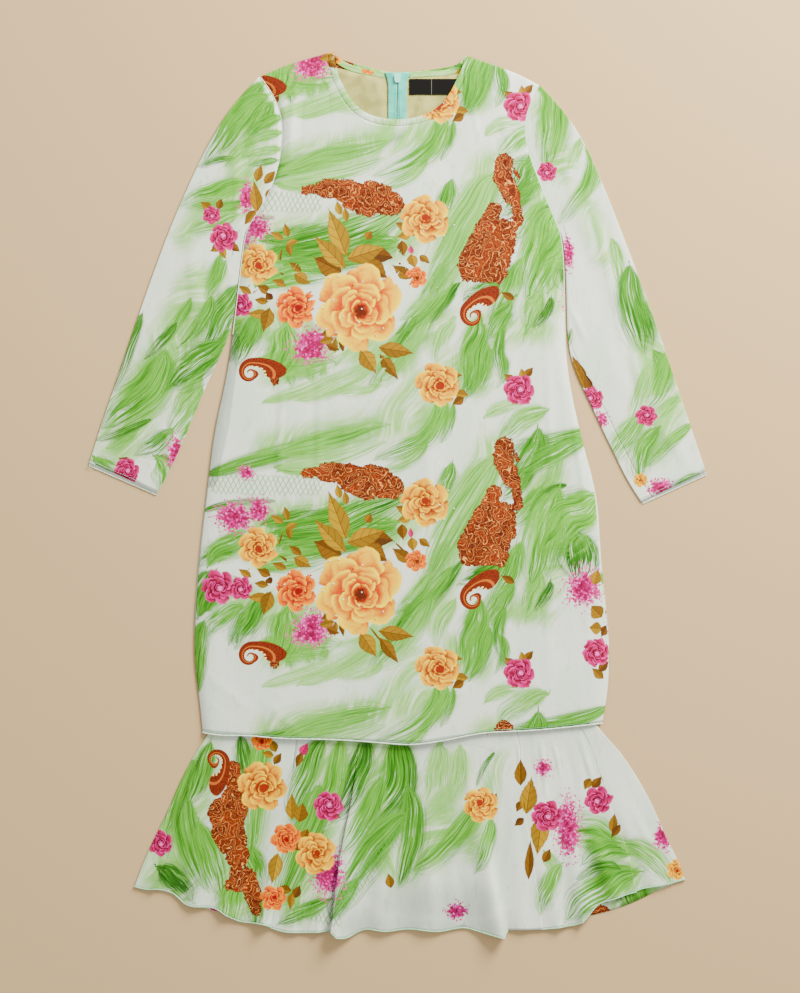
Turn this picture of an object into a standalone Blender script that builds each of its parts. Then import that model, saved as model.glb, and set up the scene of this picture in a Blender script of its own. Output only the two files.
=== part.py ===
"""Baju kurung: a long tunic with its flounced skirt, laid flat on its back.

Metres, +Z up, neck towards +Y. The origin is at the middle of the underside.
Tables hold real sizes in millimetres. Each cloth piece is one wall, and the
pieces lie on each other with a small gap.
"""

import math
from collections import namedtuple

import bmesh
import bpy
from mathutils import Vector

MM = 0.001
CLOTH = 1.0
GAP = 0.3
STEP = CLOTH + GAP

# Height of the underside of each layer, in mm.
BACK_LEVEL = 0.0
FRONT_LEVEL = STEP
LINING_LEVEL = STEP
SKIRT_BACK_LEVEL = 2 * STEP
SKIRT_FRONT_LEVEL = 3 * STEP
YOKE_LEVEL = 4.3
OVER_SKIRT_LEVEL = 5.5
HEM_LEVEL = 7.0

# Heights across the garment, in mm along Y.
BACK_HEM_LEFT = -322.0
BACK_HEM_RIGHT = -311.0
WAIST_TOP = 405.0
WAIST_SEAM = 380.0
FLOUNCE_SEAM = -230.0
FLOUNCE_AT_BACK_HEM = -327.0
FLOUNCE_ON_FLOOR = -352.0

SIDE_ROWS = 15
ARMHOLE_NOTCHES = 11
SHOULDER_COLUMNS = 5
SHOULDER_LENGTH = 109.0
HEM_LENGTH = 560.0
EDGE_RISE = 9.0
SEAM_SHIFT = 0.9
SIDE_SHIFT = 2.0
BACK_PEEK_LEFT = -1.6
BACK_PEEK_RIGHT = 3.2
BACK_HEM_CLEARANCE = 12.0

NECK_COLUMNS = 16
NECK_LENGTH = 255.0
NECK_BAND = 8.4
NECK_BAND_THICK = 1.3
NECK_BAND_CROWN = 0.8
NECK_END_RISE = 26.0
NECK_EASE = 9.0
FACING_POINTS = 6
LINING_INSET = 11.0
LINING_CENTRE = 12.3
LINING_HEM = -290.0
LINING_DROP = 16.0

SLEEVE_ROWS = 12
FOLD_STEPS = 3
UNDERARM_EASE = 11.0
CUFF_DROP = 0.1
UNDERARM_ROLL = 15.0

ZIP_TOP = 591.0
ZIP_LENGTH = 180.0
TAPE_WIDTH = 13.0
TAPE_WING = 5.0
TAPE_LEVEL = 2.9
TAPE_LIFT = 0.6
PULL_LIFT = 2.1
PULL_LIFT_INNER = 5.0
PULL_LIFT_OUTER = 12.0
PULL_LIFT_FULL = 572.0
PULL_LIFT_END = 548.0
ZIP_GAP = 0.75
ZIP_OPEN = 540.0
ZIP_EASE = 25.0
ZIP_ROWS = 13
BACK_TOP_STEPS = (0.0, 0.16, 0.34, 0.48, 0.62)
BACK_INSETS = (12.0, 6.0)

SLIDER_LENGTH = 13.3
SLIDER_WIDTH = 8.8
SLIDER_THICK = 2.2
SLIDER_CENTRE = 583.0
SLIDER_FLOOR = 5.5
STEM_THICK = 0.8
STEM_LENGTH = 5.0
HINGE_Y = 584.0
HINGE_Z = 1.35
EYE_RADIUS = 1.35
EYE_HOLE = 0.75
PULL_PIN = 0.45
PULL_LENGTH = 21.0
PULL_WIDTH = 5.0
PULL_THICK = 0.9

LABEL_LEFT = 16.5
LABEL_LENGTH = 72.0
LABEL_TOP = 582.0
LABEL_HEIGHT = 22.0
LABEL_LEVEL = LINING_LEVEL + STEP

Section = namedtuple("Section", "y left right")
Notch = namedtuple("Notch", "left_x left_y right_x right_y")
Spot = namedtuple("Spot", "x y")
SleeveRow = namedtuple("SleeveRow", "outer_x outer_y inner_x inner_y")
Fold = namedtuple("Fold", "x y reach width height slope")
GoreEdge = namedtuple("GoreEdge", "y x")
GoreFold = namedtuple("GoreFold", "top hem start width height lean")

# Sides of the tunic, hem to underarm.
TUNIC_SECTIONS = (
    Section(-287, -276, 293),
    Section(-231, -284, 296),
    Section(-175, -283, 292),
    Section(-119, -279, 284),
    Section(-63, -274, 280),
    Section(-7, -267, 278),
    Section(49, -261, 265),
    Section(105, -253, 251),
    Section(161, -239, 239),
    Section(217, -231, 234),
    Section(273, -224, 233),
    Section(343, -216, 232),
)
HEM_CORNERS = Notch(-272, -332, 286, -319)

# Armholes, underarm to shoulder tip.
ARMHOLE = (
    Notch(-212, 372, 229, 363),
    Notch(-201, 386, 220, 384),
    Notch(-190, 403, 212, 403),
    Notch(-178, 424, 202, 427),
    Notch(-170, 448, 194, 448),
    Notch(-164, 469, 186, 469),
    Notch(-162, 490, 180, 490),
    Notch(-160, 511, 178, 508),
    Notch(-163, 533, 178, 525),
    Notch(-170, 553, 183, 542),
    Notch(-180, 570, 190, 557),
    Notch(-192, 585, 198, 573),
)

# Shoulder seams, tip to neck, left and right.
SHOULDER = (
    Notch(-192, 585, 198, 573),
    Notch(-158, 600, 172, 587),
    Notch(-115, 613, 136, 601),
    Notch(-89, 620, 96, 614),
)

# Front neck opening, left to right.
NECK_FRONT = (
    Spot(-89, 620),
    Spot(-85, 592),
    Spot(-79, 578),
    Spot(-65, 552),
    Spot(-44, 533),
    Spot(-18, 526),
    Spot(10, 525),
    Spot(38, 531),
    Spot(61, 545),
    Spot(76, 566),
    Spot(88, 592),
    Spot(96, 614),
)

# Back neck edge, neck point to zip, then the two edges of its facing: upper x and y, lower x and y.
NECK_BACK_LEFT = (Spot(-89, 620), Spot(-80, 610), Spot(-66, 602), Spot(-38, 594), Spot(-0.15, 591))
NECK_BACK_RIGHT = (Spot(96, 614), Spot(83, 601), Spot(74, 595), Spot(38, 594), Spot(0.15, 591))
FACING_LEFT = (
    Notch(-87.5, 617, -86, 604),
    Notch(-80, 609.5, -79, 600),
    Notch(-66, 601.5, -66, 592),
    Notch(-38, 593.5, -38, 587),
    Notch(-16, 592, -16, 583),
)
FACING_RIGHT = (
    Notch(93, 612, 90, 600),
    Notch(83, 600.5, 81, 590),
    Notch(74, 594.5, 70, 587),
    Notch(38, 593.5, 38, 585),
    Notch(16, 592, 16, 583.5),
)

# Front hem, left corner to right corner.
HEM_FRONT = (
    Spot(-272, -332),
    Spot(-248, -336),
    Spot(-206, -336),
    Spot(-164, -340),
    Spot(-80, -342),
    Spot(-24, -346),
    Spot(18, -349),
    Spot(60, -344),
    Spot(115, -333),
    Spot(144, -331),
    Spot(200, -328),
    Spot(286, -319),
)

# Sleeve edges at equal steps, armhole to cuff.
SLEEVE_LEFT = (
    SleeveRow(-192, 585, -212, 372),
    SleeveRow(-233, 542, -217, 333),
    SleeveRow(-264, 491, -222, 294),
    SleeveRow(-289, 437, -227, 254),
    SleeveRow(-313, 383, -235, 216),
    SleeveRow(-334, 327, -253, 181),
    SleeveRow(-354, 271, -269, 145),
    SleeveRow(-373, 215, -284, 108),
    SleeveRow(-392, 158, -299, 72),
    SleeveRow(-412, 102, -316, 36),
    SleeveRow(-429, 46, -334, 3),
)
SLEEVE_RIGHT = (
    SleeveRow(198, 573, 229, 363),
    SleeveRow(238, 529, 234, 323),
    SleeveRow(268, 478, 235, 284),
    SleeveRow(290, 423, 236, 244),
    SleeveRow(312, 368, 238, 204),
    SleeveRow(333, 312, 250, 166),
    SleeveRow(354, 257, 268, 131),
    SleeveRow(373, 201, 284, 95),
    SleeveRow(392, 144, 302, 59),
    SleeveRow(411, 88, 319, 23),
    SleeveRow(429, 33, 340, -9),
)

# Soft folds of the tunic front: middle, half length, half width, height and lean from upright.
TUNIC_FOLDS = (
    Fold(-174, 45, 80, 14, 1.6, 0.05),
    Fold(-128, 40, 100, 22, 2.0, -0.04),
    Fold(-72, -30, 110, 24, 1.6, 0.02),
    Fold(46, 60, 130, 26, 1.7, 0.0),
    Fold(120, -60, 120, 28, 1.6, 0.05),
    Fold(-148, 505, 52, 12, 2.2, -0.30),
    Fold(148, 498, 42, 12, 2.2, 0.35),
    Fold(105, 520, 40, 14, 1.6, 0.55),
    Fold(-200, 130, 90, 16, 1.8, 0.10),
    Fold(205, 40, 110, 18, 2.0, -0.12),
    Fold(-215, -262, 50, 20, 2.4, 0.55),
    Fold(-150, -285, 45, 26, 2.0, 0.25),
    Fold(-20, -290, 50, 30, 2.2, -0.10),
    Fold(80, -280, 50, 26, 1.8, 0.15),
    Fold(215, -255, 60, 24, 2.2, -0.30),
    Fold(10, 430, 60, 40, 1.2, 0.0),
)

SLEEVE_FOLDS_LEFT = (
    Fold(-214, 490, 60, 12, 2.0, -0.20),
    Fold(-250, 410, 80, 16, 1.8, 0.45),
    Fold(-290, 320, 90, 16, 2.0, 0.40),
    Fold(-275, 200, 90, 15, 1.8, 0.36),
    Fold(-335, 180, 100, 18, 2.2, 0.36),
    Fold(-375, 90, 60, 14, 1.8, 0.32),
)
SLEEVE_FOLDS_RIGHT = (
    Fold(222, 470, 60, 13, 2.0, 0.25),
    Fold(255, 390, 90, 15, 2.2, -0.40),
    Fold(290, 310, 90, 16, 1.9, -0.38),
    Fold(300, 190, 90, 15, 2.0, -0.36),
    Fold(345, 160, 100, 18, 2.2, -0.36),
    Fold(385, 80, 60, 14, 1.8, -0.33),
)

# Seam lines and silhouette of the flounce, from its seam to its hem.
FLOUNCE_LEFT = (
    GoreEdge(-230, -195),
    GoreEdge(-290, -230),
    GoreEdge(-327, -258),
    GoreEdge(-353, -277),
    GoreEdge(-399, -302),
    GoreEdge(-444, -321),
    GoreEdge(-490, -344),
    GoreEdge(-536, -363),
    GoreEdge(-548, -367),
)
SEAM_A = (
    GoreEdge(-230, -178),
    GoreEdge(-327, -252),
    GoreEdge(-367, -278),
    GoreEdge(-427, -300),
    GoreEdge(-490, -317),
    GoreEdge(-551, -337),
)
SEAM_B = (
    GoreEdge(-230, -112),
    GoreEdge(-327, -139),
    GoreEdge(-378, -146),
    GoreEdge(-427, -155),
    GoreEdge(-539, -171),
    GoreEdge(-604, -181),
)
SEAM_C = (
    GoreEdge(-230, -42),
    GoreEdge(-327, -52),
    GoreEdge(-427, -64),
    GoreEdge(-511, -80),
    GoreEdge(-609, -90),
)
SEAM_F = (
    GoreEdge(-230, 125),
    GoreEdge(-327, 168),
    GoreEdge(-413, 173),
    GoreEdge(-469, 181),
    GoreEdge(-539, 190),
    GoreEdge(-608, 200),
)
SEAM_G = (
    GoreEdge(-230, 196),
    GoreEdge(-327, 259),
    GoreEdge(-378, 279),
    GoreEdge(-444, 300),
    GoreEdge(-504, 320),
    GoreEdge(-555, 331),
)
FLOUNCE_RIGHT = (
    GoreEdge(-230, 215),
    GoreEdge(-290, 254),
    GoreEdge(-327, 279),
    GoreEdge(-353, 305),
    GoreEdge(-382, 326),
    GoreEdge(-431, 354),
    GoreEdge(-477, 374),
    GoreEdge(-515, 393),
    GoreEdge(-538, 401),
)
BACK_SEAM_LEFT = (GoreEdge(-230, -112), GoreEdge(-327, -150), GoreEdge(-598, -195))
BACK_SEAM_MIDDLE = (GoreEdge(-230, 8), GoreEdge(-327, 10), GoreEdge(-606, 12))
BACK_SEAM_RIGHT = (GoreEdge(-230, 120), GoreEdge(-327, 165), GoreEdge(-594, 225))

# Visible hems of the gores, left to right.
HEM_STRIP = (Spot(-367, -548), Spot(-352, -552), Spot(-337, -551))
HEM_GORE_1 = (
    Spot(-342, -551),
    Spot(-318, -557),
    Spot(-298, -575),
    Spot(-262, -578),
    Spot(-247, -584),
    Spot(-223, -599),
    Spot(-198, -601),
    Spot(-181, -607),
)
HEM_GORE_2 = (Spot(-188, -598), Spot(-164, -606), Spot(-122, -609), Spot(-82, -608))
HEM_GORE_3 = (
    Spot(-90, -614),
    Spot(-74, -625),
    Spot(-46, -611),
    Spot(-18, -614),
    Spot(18, -610),
    Spot(59, -613),
    Spot(95, -607),
    Spot(139, -620),
    Spot(152, -610),
    Spot(200, -608),
)
HEM_GORE_4 = (
    Spot(192, -606),
    Spot(227, -602),
    Spot(253, -597),
    Spot(276, -573),
    Spot(300, -564),
    Spot(331, -555),
)
HEM_RIGHT_FRONT = (Spot(331, -552), Spot(346, -547), Spot(368, -545), Spot(401, -538))
HEM_LEFT_BACK = (Spot(-367, -548), Spot(-318, -553), Spot(-298, -570), Spot(-195, -598))
HEM_BACK_1 = (Spot(-195, -598), Spot(-120, -603), Spot(-60, -605), Spot(12, -606))
HEM_BACK_2 = (Spot(12, -606), Spot(90, -604), Spot(160, -603), Spot(225, -594))
HEM_RIGHT_BACK = (
    Spot(225, -594),
    Spot(284, -587),
    Spot(314, -575),
    Spot(351, -563),
    Spot(379, -543),
    Spot(401, -538),
)

# Folds of the gores: place at the tunic hem and at the flounce hem, start (0 to 1), size and lean.
FOLDS_GORE_1 = (
    GoreFold(-214, -285, 0.0, 20, 5, 0),
    GoreFold(-185, -240, 0.1, 16, 6, -3),
    GoreFold(-141, -192, 0.0, 14, 10, 6),
)
FOLDS_GORE_2 = (
    GoreFold(-112, -150, 0.2, 16, 4, 0),
    GoreFold(-85, -114, 0.0, 15, 5, 2),
)
FOLDS_GORE_3 = (
    GoreFold(-56, -84, 0.0, 22, 17, -4),
    GoreFold(-15, -22, 0.0, 24, 5, 0),
    GoreFold(45, 40, 0.1, 26, 5, 0),
    GoreFold(96, 132, 0.1, 22, 16, 13),
    GoreFold(150, 172, 0.0, 14, 4, 2),
)
FOLDS_GORE_4 = (
    GoreFold(196, 222, 0.0, 14, 5, 2),
    GoreFold(218, 262, 0.0, 15, 7, 0),
    GoreFold(243, 302, 0.0, 16, 6, 3),
)
FOLDS_RIGHT = (GoreFold(272, 366, 0.0, 18, 4, 0),)

SKIRT_SECTIONS = (
    Section(-229.6, -195, 215),
    Section(-80, -196, 208),
    Section(60, -208, 218),
    Section(180, -212, 214),
    Section(300, -192, 200),
    Section(379.8, -168, 180),
)


def clear_scene():
    for obj in list(bpy.data.objects):
        bpy.data.objects.remove(obj, do_unlink=True)


def clamp(value, low=0.0, high=1.0):
    return max(low, min(high, value))


def ease(value):
    """Smooth step from 0 to 1."""
    value = clamp(value)
    return value * value * (3.0 - 2.0 * value)


def bump(value):
    """One at 0, falling smoothly to 0 at -1 and 1."""
    return 0.5 + 0.5 * math.cos(math.pi * clamp(value, -1.0, 1.0))


def lengths(points):
    """Running length at each point, divided by the whole."""
    run = [0.0]
    for start, end in zip(points, points[1:]):
        run.append(run[-1] + (Vector(end) - Vector(start)).length)
    return [value / run[-1] for value in run]


def curve_point(points, fraction):
    """Point at a fraction of the length of a smooth curve through the points."""
    run = lengths(points)
    span = next((i for i in range(len(points) - 2) if run[i + 1] >= fraction), len(points) - 2)
    t = (fraction - run[span]) / (run[span + 1] - run[span])
    p1, p2 = Vector(points[span]), Vector(points[span + 1])
    p0 = Vector(points[span - 1]) if span else p1 * 2.0 - p2
    p3 = Vector(points[span + 2]) if span + 2 < len(points) else p2 * 2.0 - p1
    slope_in = (p2 - p0) * 0.5
    slope_out = (p3 - p1) * 0.5
    rest = p2 - p1
    return p1 + slope_in * t + (rest * 3 - slope_in * 2 - slope_out) * t**2 + (
        slope_in + slope_out - rest * 2
    ) * t**3


def curve_points(points, count):
    """Evenly spaced points along a smooth curve, both ends included."""
    return [curve_point(points, i / (count - 1)) for i in range(count)]


def edge_at(edge, y):
    """X of a gore edge at this height, on the table's smooth curve."""
    rows = list(edge)
    span = next((i for i in range(len(rows) - 2) if rows[i + 1].y <= y), len(rows) - 2)
    a, b = rows[span], rows[span + 1]
    before = rows[span - 1] if span else a
    after = rows[span + 2] if span + 2 < len(rows) else b
    t = clamp((y - a.y) / (b.y - a.y))
    drop = b.y - a.y
    slope_a = (b.x - before.x) / (b.y - before.y) * drop
    slope_b = (after.x - a.x) / (after.y - a.y) * drop
    rest = b.x - a.x
    return a.x + slope_a * t + (rest * 3 - slope_a * 2 - slope_b) * t**2 + (
        slope_a + slope_b - rest * 2
    ) * t**3


def pairs(table, side):
    """The points of one side of a table with left and right columns."""
    if side == "left":
        return [(row[0], row[1]) for row in table]
    return [(row[2], row[3]) for row in table]


def fold_height(folds, x, y):
    """Height that the soft folds add at a place."""
    total = 0.0
    for fold in folds:
        along = (y - fold.y) / fold.reach
        across = (x - fold.x - fold.slope * (y - fold.y)) / fold.width
        total += fold.height * bump(along) * bump(across)
    return total


def material(name, colour, roughness, metallic=0.0):
    made = bpy.data.materials.new(name)
    made.use_nodes = True
    shader = made.node_tree.nodes["Principled BSDF"]
    shader.inputs["Base Color"].default_value = (*colour, 1.0)
    shader.inputs["Roughness"].default_value = roughness
    shader.inputs["Metallic"].default_value = metallic
    made.diffuse_color = (*colour, 1.0)
    return made


def add_object(name, mesh, finish):
    obj = bpy.data.objects.new(name, mesh)
    bpy.data.collections["baju_kurung"].objects.link(obj)
    mesh.materials.clear()
    mesh.materials.append(material(name, *finish))
    return obj


def cloth_sheet(name, rows, finish, thickness=CLOTH, offset=1.0):
    """A grid bent to rows of points in mm, thickened to a wall.

    Rows run towards +Y and points towards +X, so that the wall grows up from them.
    """
    bm = bmesh.new()
    across, along = len(rows[0]) - 1, len(rows) - 1
    made = bmesh.ops.create_grid(bm, x_segments=across, y_segments=along, size=1.0)
    for index, vert in enumerate(made["verts"]):
        row, column = divmod(index, across + 1)
        vert.co = Vector(rows[row][column]) * MM
    mesh = bpy.data.meshes.new(name)
    bm.to_mesh(mesh)
    bm.free()
    obj = add_object(name, mesh, finish)
    wall = obj.modifiers.new("wall", "SOLIDIFY")
    wall.thickness = thickness * MM
    wall.offset = offset
    mesh.shade_smooth()
    return obj


def spread(bottom, top, left, right, hold=1.0, margin=1.0):
    """Plan points between four edges: rows from bottom to top, points from left to right.

    The bottom edge's own shape fades out over 1 / hold of the way up. The sides' own
    shape fades inwards, faster with a larger margin.
    """
    across = [(a + b) / 2 for a, b in zip(lengths(bottom), lengths(top))]
    up = [(a + b) / 2 for a, b in zip(lengths(left), lengths(right))]
    corners = (Vector(bottom[0]), Vector(bottom[-1]), Vector(top[0]), Vector(top[-1]))
    rows = []
    for v, start, end in zip(up, left, right):
        fade = clamp(1.0 - v * hold) ** (1.0 if hold == 1.0 else 2.0)
        ends = (corners[0].lerp(corners[2], v), corners[1].lerp(corners[3], v))
        row = []
        for u, low, high in zip(across, bottom, top):
            place = ends[0].lerp(ends[1], u)
            place += (Vector(start) - ends[0]) * (1.0 - u) ** margin
            place += (Vector(end) - ends[1]) * u**margin
            place += (Vector(low) - corners[0].lerp(corners[1], u)) * fade
            place += (Vector(high) - corners[2].lerp(corners[3], u)) * v
            row.append(place)
        rows.append(row)
    return rows


def tunic_side(side, peek=0.0):
    """Hem corner to shoulder tip. The seam notches are the same on every piece that meets here."""
    corner = (HEM_CORNERS[0], HEM_CORNERS[1]) if side == "left" else (HEM_CORNERS[2], HEM_CORNERS[3])
    down = [corner] + [(getattr(row, side), row.y) for row in TUNIC_SECTIONS]
    armhole = pairs(ARMHOLE, side)
    down.append(armhole[0])
    points = curve_points(down, SIDE_ROWS + 1)[:-1]
    if peek:
        points = [Vector((p.x + peek * bump((p.y + 95.0) / 215.0), p.y)) for p in points]
    return points + curve_points(armhole, ARMHOLE_NOTCHES + 1)


def neck_outline(offset):
    """Front neck curve moved out from the opening, ended on the shoulder seams."""
    points = curve_points(NECK_FRONT, NECK_COLUMNS + 1)
    moved = []
    for i, point in enumerate(points):
        ahead = points[min(i + 1, len(points) - 1)] - points[max(i - 1, 0)]
        normal = Vector((ahead.y, -ahead.x)).normalized()
        moved.append(point + normal * offset)
    for index, side in ((0, "left"), (-1, "right")):
        seam = pairs(SHOULDER, side)
        moved[index] = curve_point(seam, 1.0 - offset / SHOULDER_LENGTH)
    return moved


def neck_level(run):
    """Height along the neck: low at the shoulder seams, up over the zip and label between."""
    from_end = min(run, 1.0 - run) * NECK_LENGTH
    return FRONT_LEVEL + (YOKE_LEVEL - FRONT_LEVEL) * ease(from_end / NECK_END_RISE)


def lift(x, y):
    """The cloth over the zip's pull stands up by the pull's thickness."""
    across = (PULL_LIFT_OUTER - abs(x)) / (PULL_LIFT_OUTER - PULL_LIFT_INNER)
    along = (y - PULL_LIFT_END) / (PULL_LIFT_FULL - PULL_LIFT_END)
    return PULL_LIFT * clamp(across) * clamp(along)


def front_level(y):
    """Underside of the tunic front away from its seams."""
    level = YOKE_LEVEL + (OVER_SKIRT_LEVEL - YOKE_LEVEL) * ease((470.0 - y) / 45.0)
    return level + (HEM_LEVEL - OVER_SKIRT_LEVEL) * ease((-190.0 - y) / 130.0)


def add_tunic_front(finish):
    left, right = tunic_side("left"), tunic_side("right")
    neck = neck_outline(NECK_BAND + 2 * GAP)
    shoulders = {}
    for side in ("left", "right"):
        seam = pairs(SHOULDER, side)
        first, last = EDGE_RISE / SHOULDER_LENGTH, 1.0 - (NECK_BAND + GAP) / SHOULDER_LENGTH
        steps = [first + (last - first) * i / SHOULDER_COLUMNS for i in range(SHOULDER_COLUMNS)]
        shoulders[side] = [Vector(seam[0])] + [curve_point(seam, s) for s in steps]
    top = shoulders["left"] + neck + shoulders["right"][::-1]
    count = len(top)
    hem_edge = EDGE_RISE / HEM_LENGTH
    inner = [hem_edge + (1.0 - 2 * hem_edge) * i / (count - 3) for i in range(count - 2)]
    bottom = [curve_point(HEM_FRONT, f) for f in [0.0, *inner, 1.0]]
    plan = spread(bottom, top, left, right, margin=6.0)
    # The cloth swings out past the ends of the neck opening.
    for j, share in ((-2, 1.0), (-3, 0.6), (-4, 0.3)):
        for i in range(-2, 4):
            swing = NECK_EASE * share * bump(i / 4.0)
            plan[j][SHOULDER_COLUMNS + 1 + i].x -= swing
            plan[j][count - 2 - SHOULDER_COLUMNS - i].x += swing
    neck_run = lengths(neck)
    rows = []
    for j, row in enumerate(plan):
        points = []
        for i, place in enumerate(row):
            if i in (0, count - 1):
                level = FRONT_LEVEL
            elif j < len(plan) - 1:
                level = front_level(place.y) + fold_height(TUNIC_FOLDS, place.x, place.y)
            elif i <= SHOULDER_COLUMNS or i >= count - 1 - SHOULDER_COLUMNS:
                level = FRONT_LEVEL
            else:
                level = neck_level(neck_run[i - SHOULDER_COLUMNS - 1])
            points.append((place.x, place.y, level))
        rows.append(points)
    cloth_sheet("tunic_front", rows, finish)


def add_neck_binding(finish):
    inner = neck_outline(0.0)
    outer = neck_outline(NECK_BAND)
    run = lengths(inner)
    rows = []
    for share in (1.0, 0.67, 0.33, 0.0):
        row = []
        for i, (near, far) in enumerate(zip(inner, outer)):
            place = near.lerp(far, share)
            crown = NECK_BAND_CROWN * math.sin(math.pi * clamp(share, 0.05, 0.95))
            row.append((place.x, place.y, neck_level(run[i]) + crown))
        rows.append(row)
    cloth_sheet("neck_binding_front", rows, finish, thickness=NECK_BAND_THICK)


def centre_edge(outer, low, high, sign):
    """Points of a back panel's centre edge, level with its outer edge's. The zip parts it at the neck."""
    rise = outer[-1].y - outer[0].y
    points = []
    for point in outer:
        y = low + (point.y - outer[0].y) / rise * (high - low)
        points.append(Vector((sign * (GAP / 2 + (ZIP_GAP - GAP / 2) * ease((y - ZIP_OPEN) / ZIP_EASE)), y)))
    return points


def add_tunic_back(side, finish):
    sign = -1.0 if side == "left" else 1.0
    outer = tunic_side(side, peek=BACK_PEEK_LEFT if side == "left" else BACK_PEEK_RIGHT)
    # The back hem is a little higher than the front one, so that it is hidden.
    hem_y = BACK_HEM_LEFT if side == "left" else BACK_HEM_RIGHT
    start = Vector((outer[0].x, hem_y))
    outer = [start] + [Vector((p.x, max(p.y, hem_y + BACK_HEM_CLEARANCE))) for p in outer[1:]]
    low = (BACK_HEM_LEFT + BACK_HEM_RIGHT) / 2
    neck = NECK_BACK_LEFT if side == "left" else NECK_BACK_RIGHT
    top_curve = pairs(SHOULDER, side)[:-1] + list(neck)
    top = [curve_point(top_curve, f) for f in BACK_TOP_STEPS]
    top += [Vector((sign * (x + ZIP_GAP), ZIP_TOP + 0.5)) for x in BACK_INSETS]
    top.append(Vector((sign * ZIP_GAP, ZIP_TOP)))
    centre_low = Vector((sign * GAP / 2, low))
    bottom = [start.lerp(centre_low, i / (len(BACK_TOP_STEPS) + 1)) for i in range(len(BACK_TOP_STEPS))]
    bottom += [Vector((sign * (x + GAP / 2), low)) for x in BACK_INSETS]
    bottom.append(centre_low)
    centre = centre_edge(outer, low, ZIP_TOP, sign)
    edges = (bottom, top, outer, centre)
    if side == "right":
        edges = (bottom[::-1], top[::-1], centre, outer)
    rows = [[(p.x, p.y, BACK_LEVEL + lift(p.x, p.y)) for p in row] for row in spread(*edges)]
    cloth_sheet(f"tunic_back_{side}", rows, finish)


def facing_line(side, edge):
    """Points of the facing's upper or lower edge, neck point to zip."""
    table = FACING_LEFT if side == "left" else FACING_RIGHT
    return pairs(table, "left" if edge == "upper" else "right")


def add_lining_back(side, finish):
    sign = -1.0 if side == "left" else 1.0
    outer = [Vector((p.x - sign * LINING_INSET, p.y)) for p in tunic_side(side)]
    outer = [p for p in outer if p.y > LINING_HEM][::2]
    outer[-1] = curve_point(pairs(SHOULDER, side), 0.25) - Vector((0.0, LINING_DROP))
    lower = [p - Vector((0.0, GAP)) for p in curve_points(facing_line(side, "lower"), FACING_POINTS)]
    neck_corner = curve_point(pairs(SHOULDER, side), 0.85) - Vector((0.0, LINING_DROP))
    centre_x = sign * LINING_CENTRE
    top = [Vector(outer[-1]), neck_corner, *lower[1:], Vector((centre_x, lower[-1].y))]
    count = len(top) - 1
    outer[0] = Vector((outer[0].x, outer[0].y - LINING_DROP))
    bottom = [outer[0].lerp(Vector((centre_x, outer[0].y)), i / count) for i in range(count + 1)]
    centre = [bottom[-1].lerp(top[-1], f) for f in lengths(outer)]
    edges = (bottom, top, outer, centre)
    if side == "right":
        edges = (bottom[::-1], top[::-1], centre, outer)
    rows = [[(p.x, p.y, LINING_LEVEL + lift(p.x, p.y)) for p in row] for row in spread(*edges)]
    cloth_sheet(f"lining_back_{side}", rows, finish)


def add_facing(side, finish):
    edges = [curve_points(facing_line(side, edge), FACING_POINTS) for edge in ("lower", "upper")]
    if side == "right":
        edges = [edge[::-1] for edge in edges]
    rows = [[(p.x, p.y, LINING_LEVEL + lift(p.x, p.y)) for p in edge] for edge in edges]
    cloth_sheet(f"neck_facing_{side}", rows, finish)


def past(points, start):
    """The same number of points as on this line, closed up to begin a distance along it."""
    run = lengths(points)
    total = sum((b - a).length for a, b in zip(points, points[1:]))
    moved = []
    for share in run:
        wanted = start / total + (1.0 - start / total) * share
        span = next((i for i in range(len(run) - 2) if run[i + 1] >= wanted), len(run) - 2)
        inside = (wanted - run[span]) / (run[span + 1] - run[span])
        moved.append(points[span].lerp(points[span + 1], inside))
    return moved


def turned_edge(place, outward, level):
    """Points where the cloth turns round a fold, from the underside up to a level."""
    outward = outward.normalized()
    middle, radius = (level + CLOTH / 2) / 2, (level - CLOTH / 2) / 2
    arc = []
    for k in range(1, FOLD_STEPS + 1):
        angle = math.pi * k / (FOLD_STEPS + 1)
        out = place + outward * radius * math.sin(angle)
        arc.append((out.x, out.y, middle - radius * math.cos(angle)))
    return arc


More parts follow.
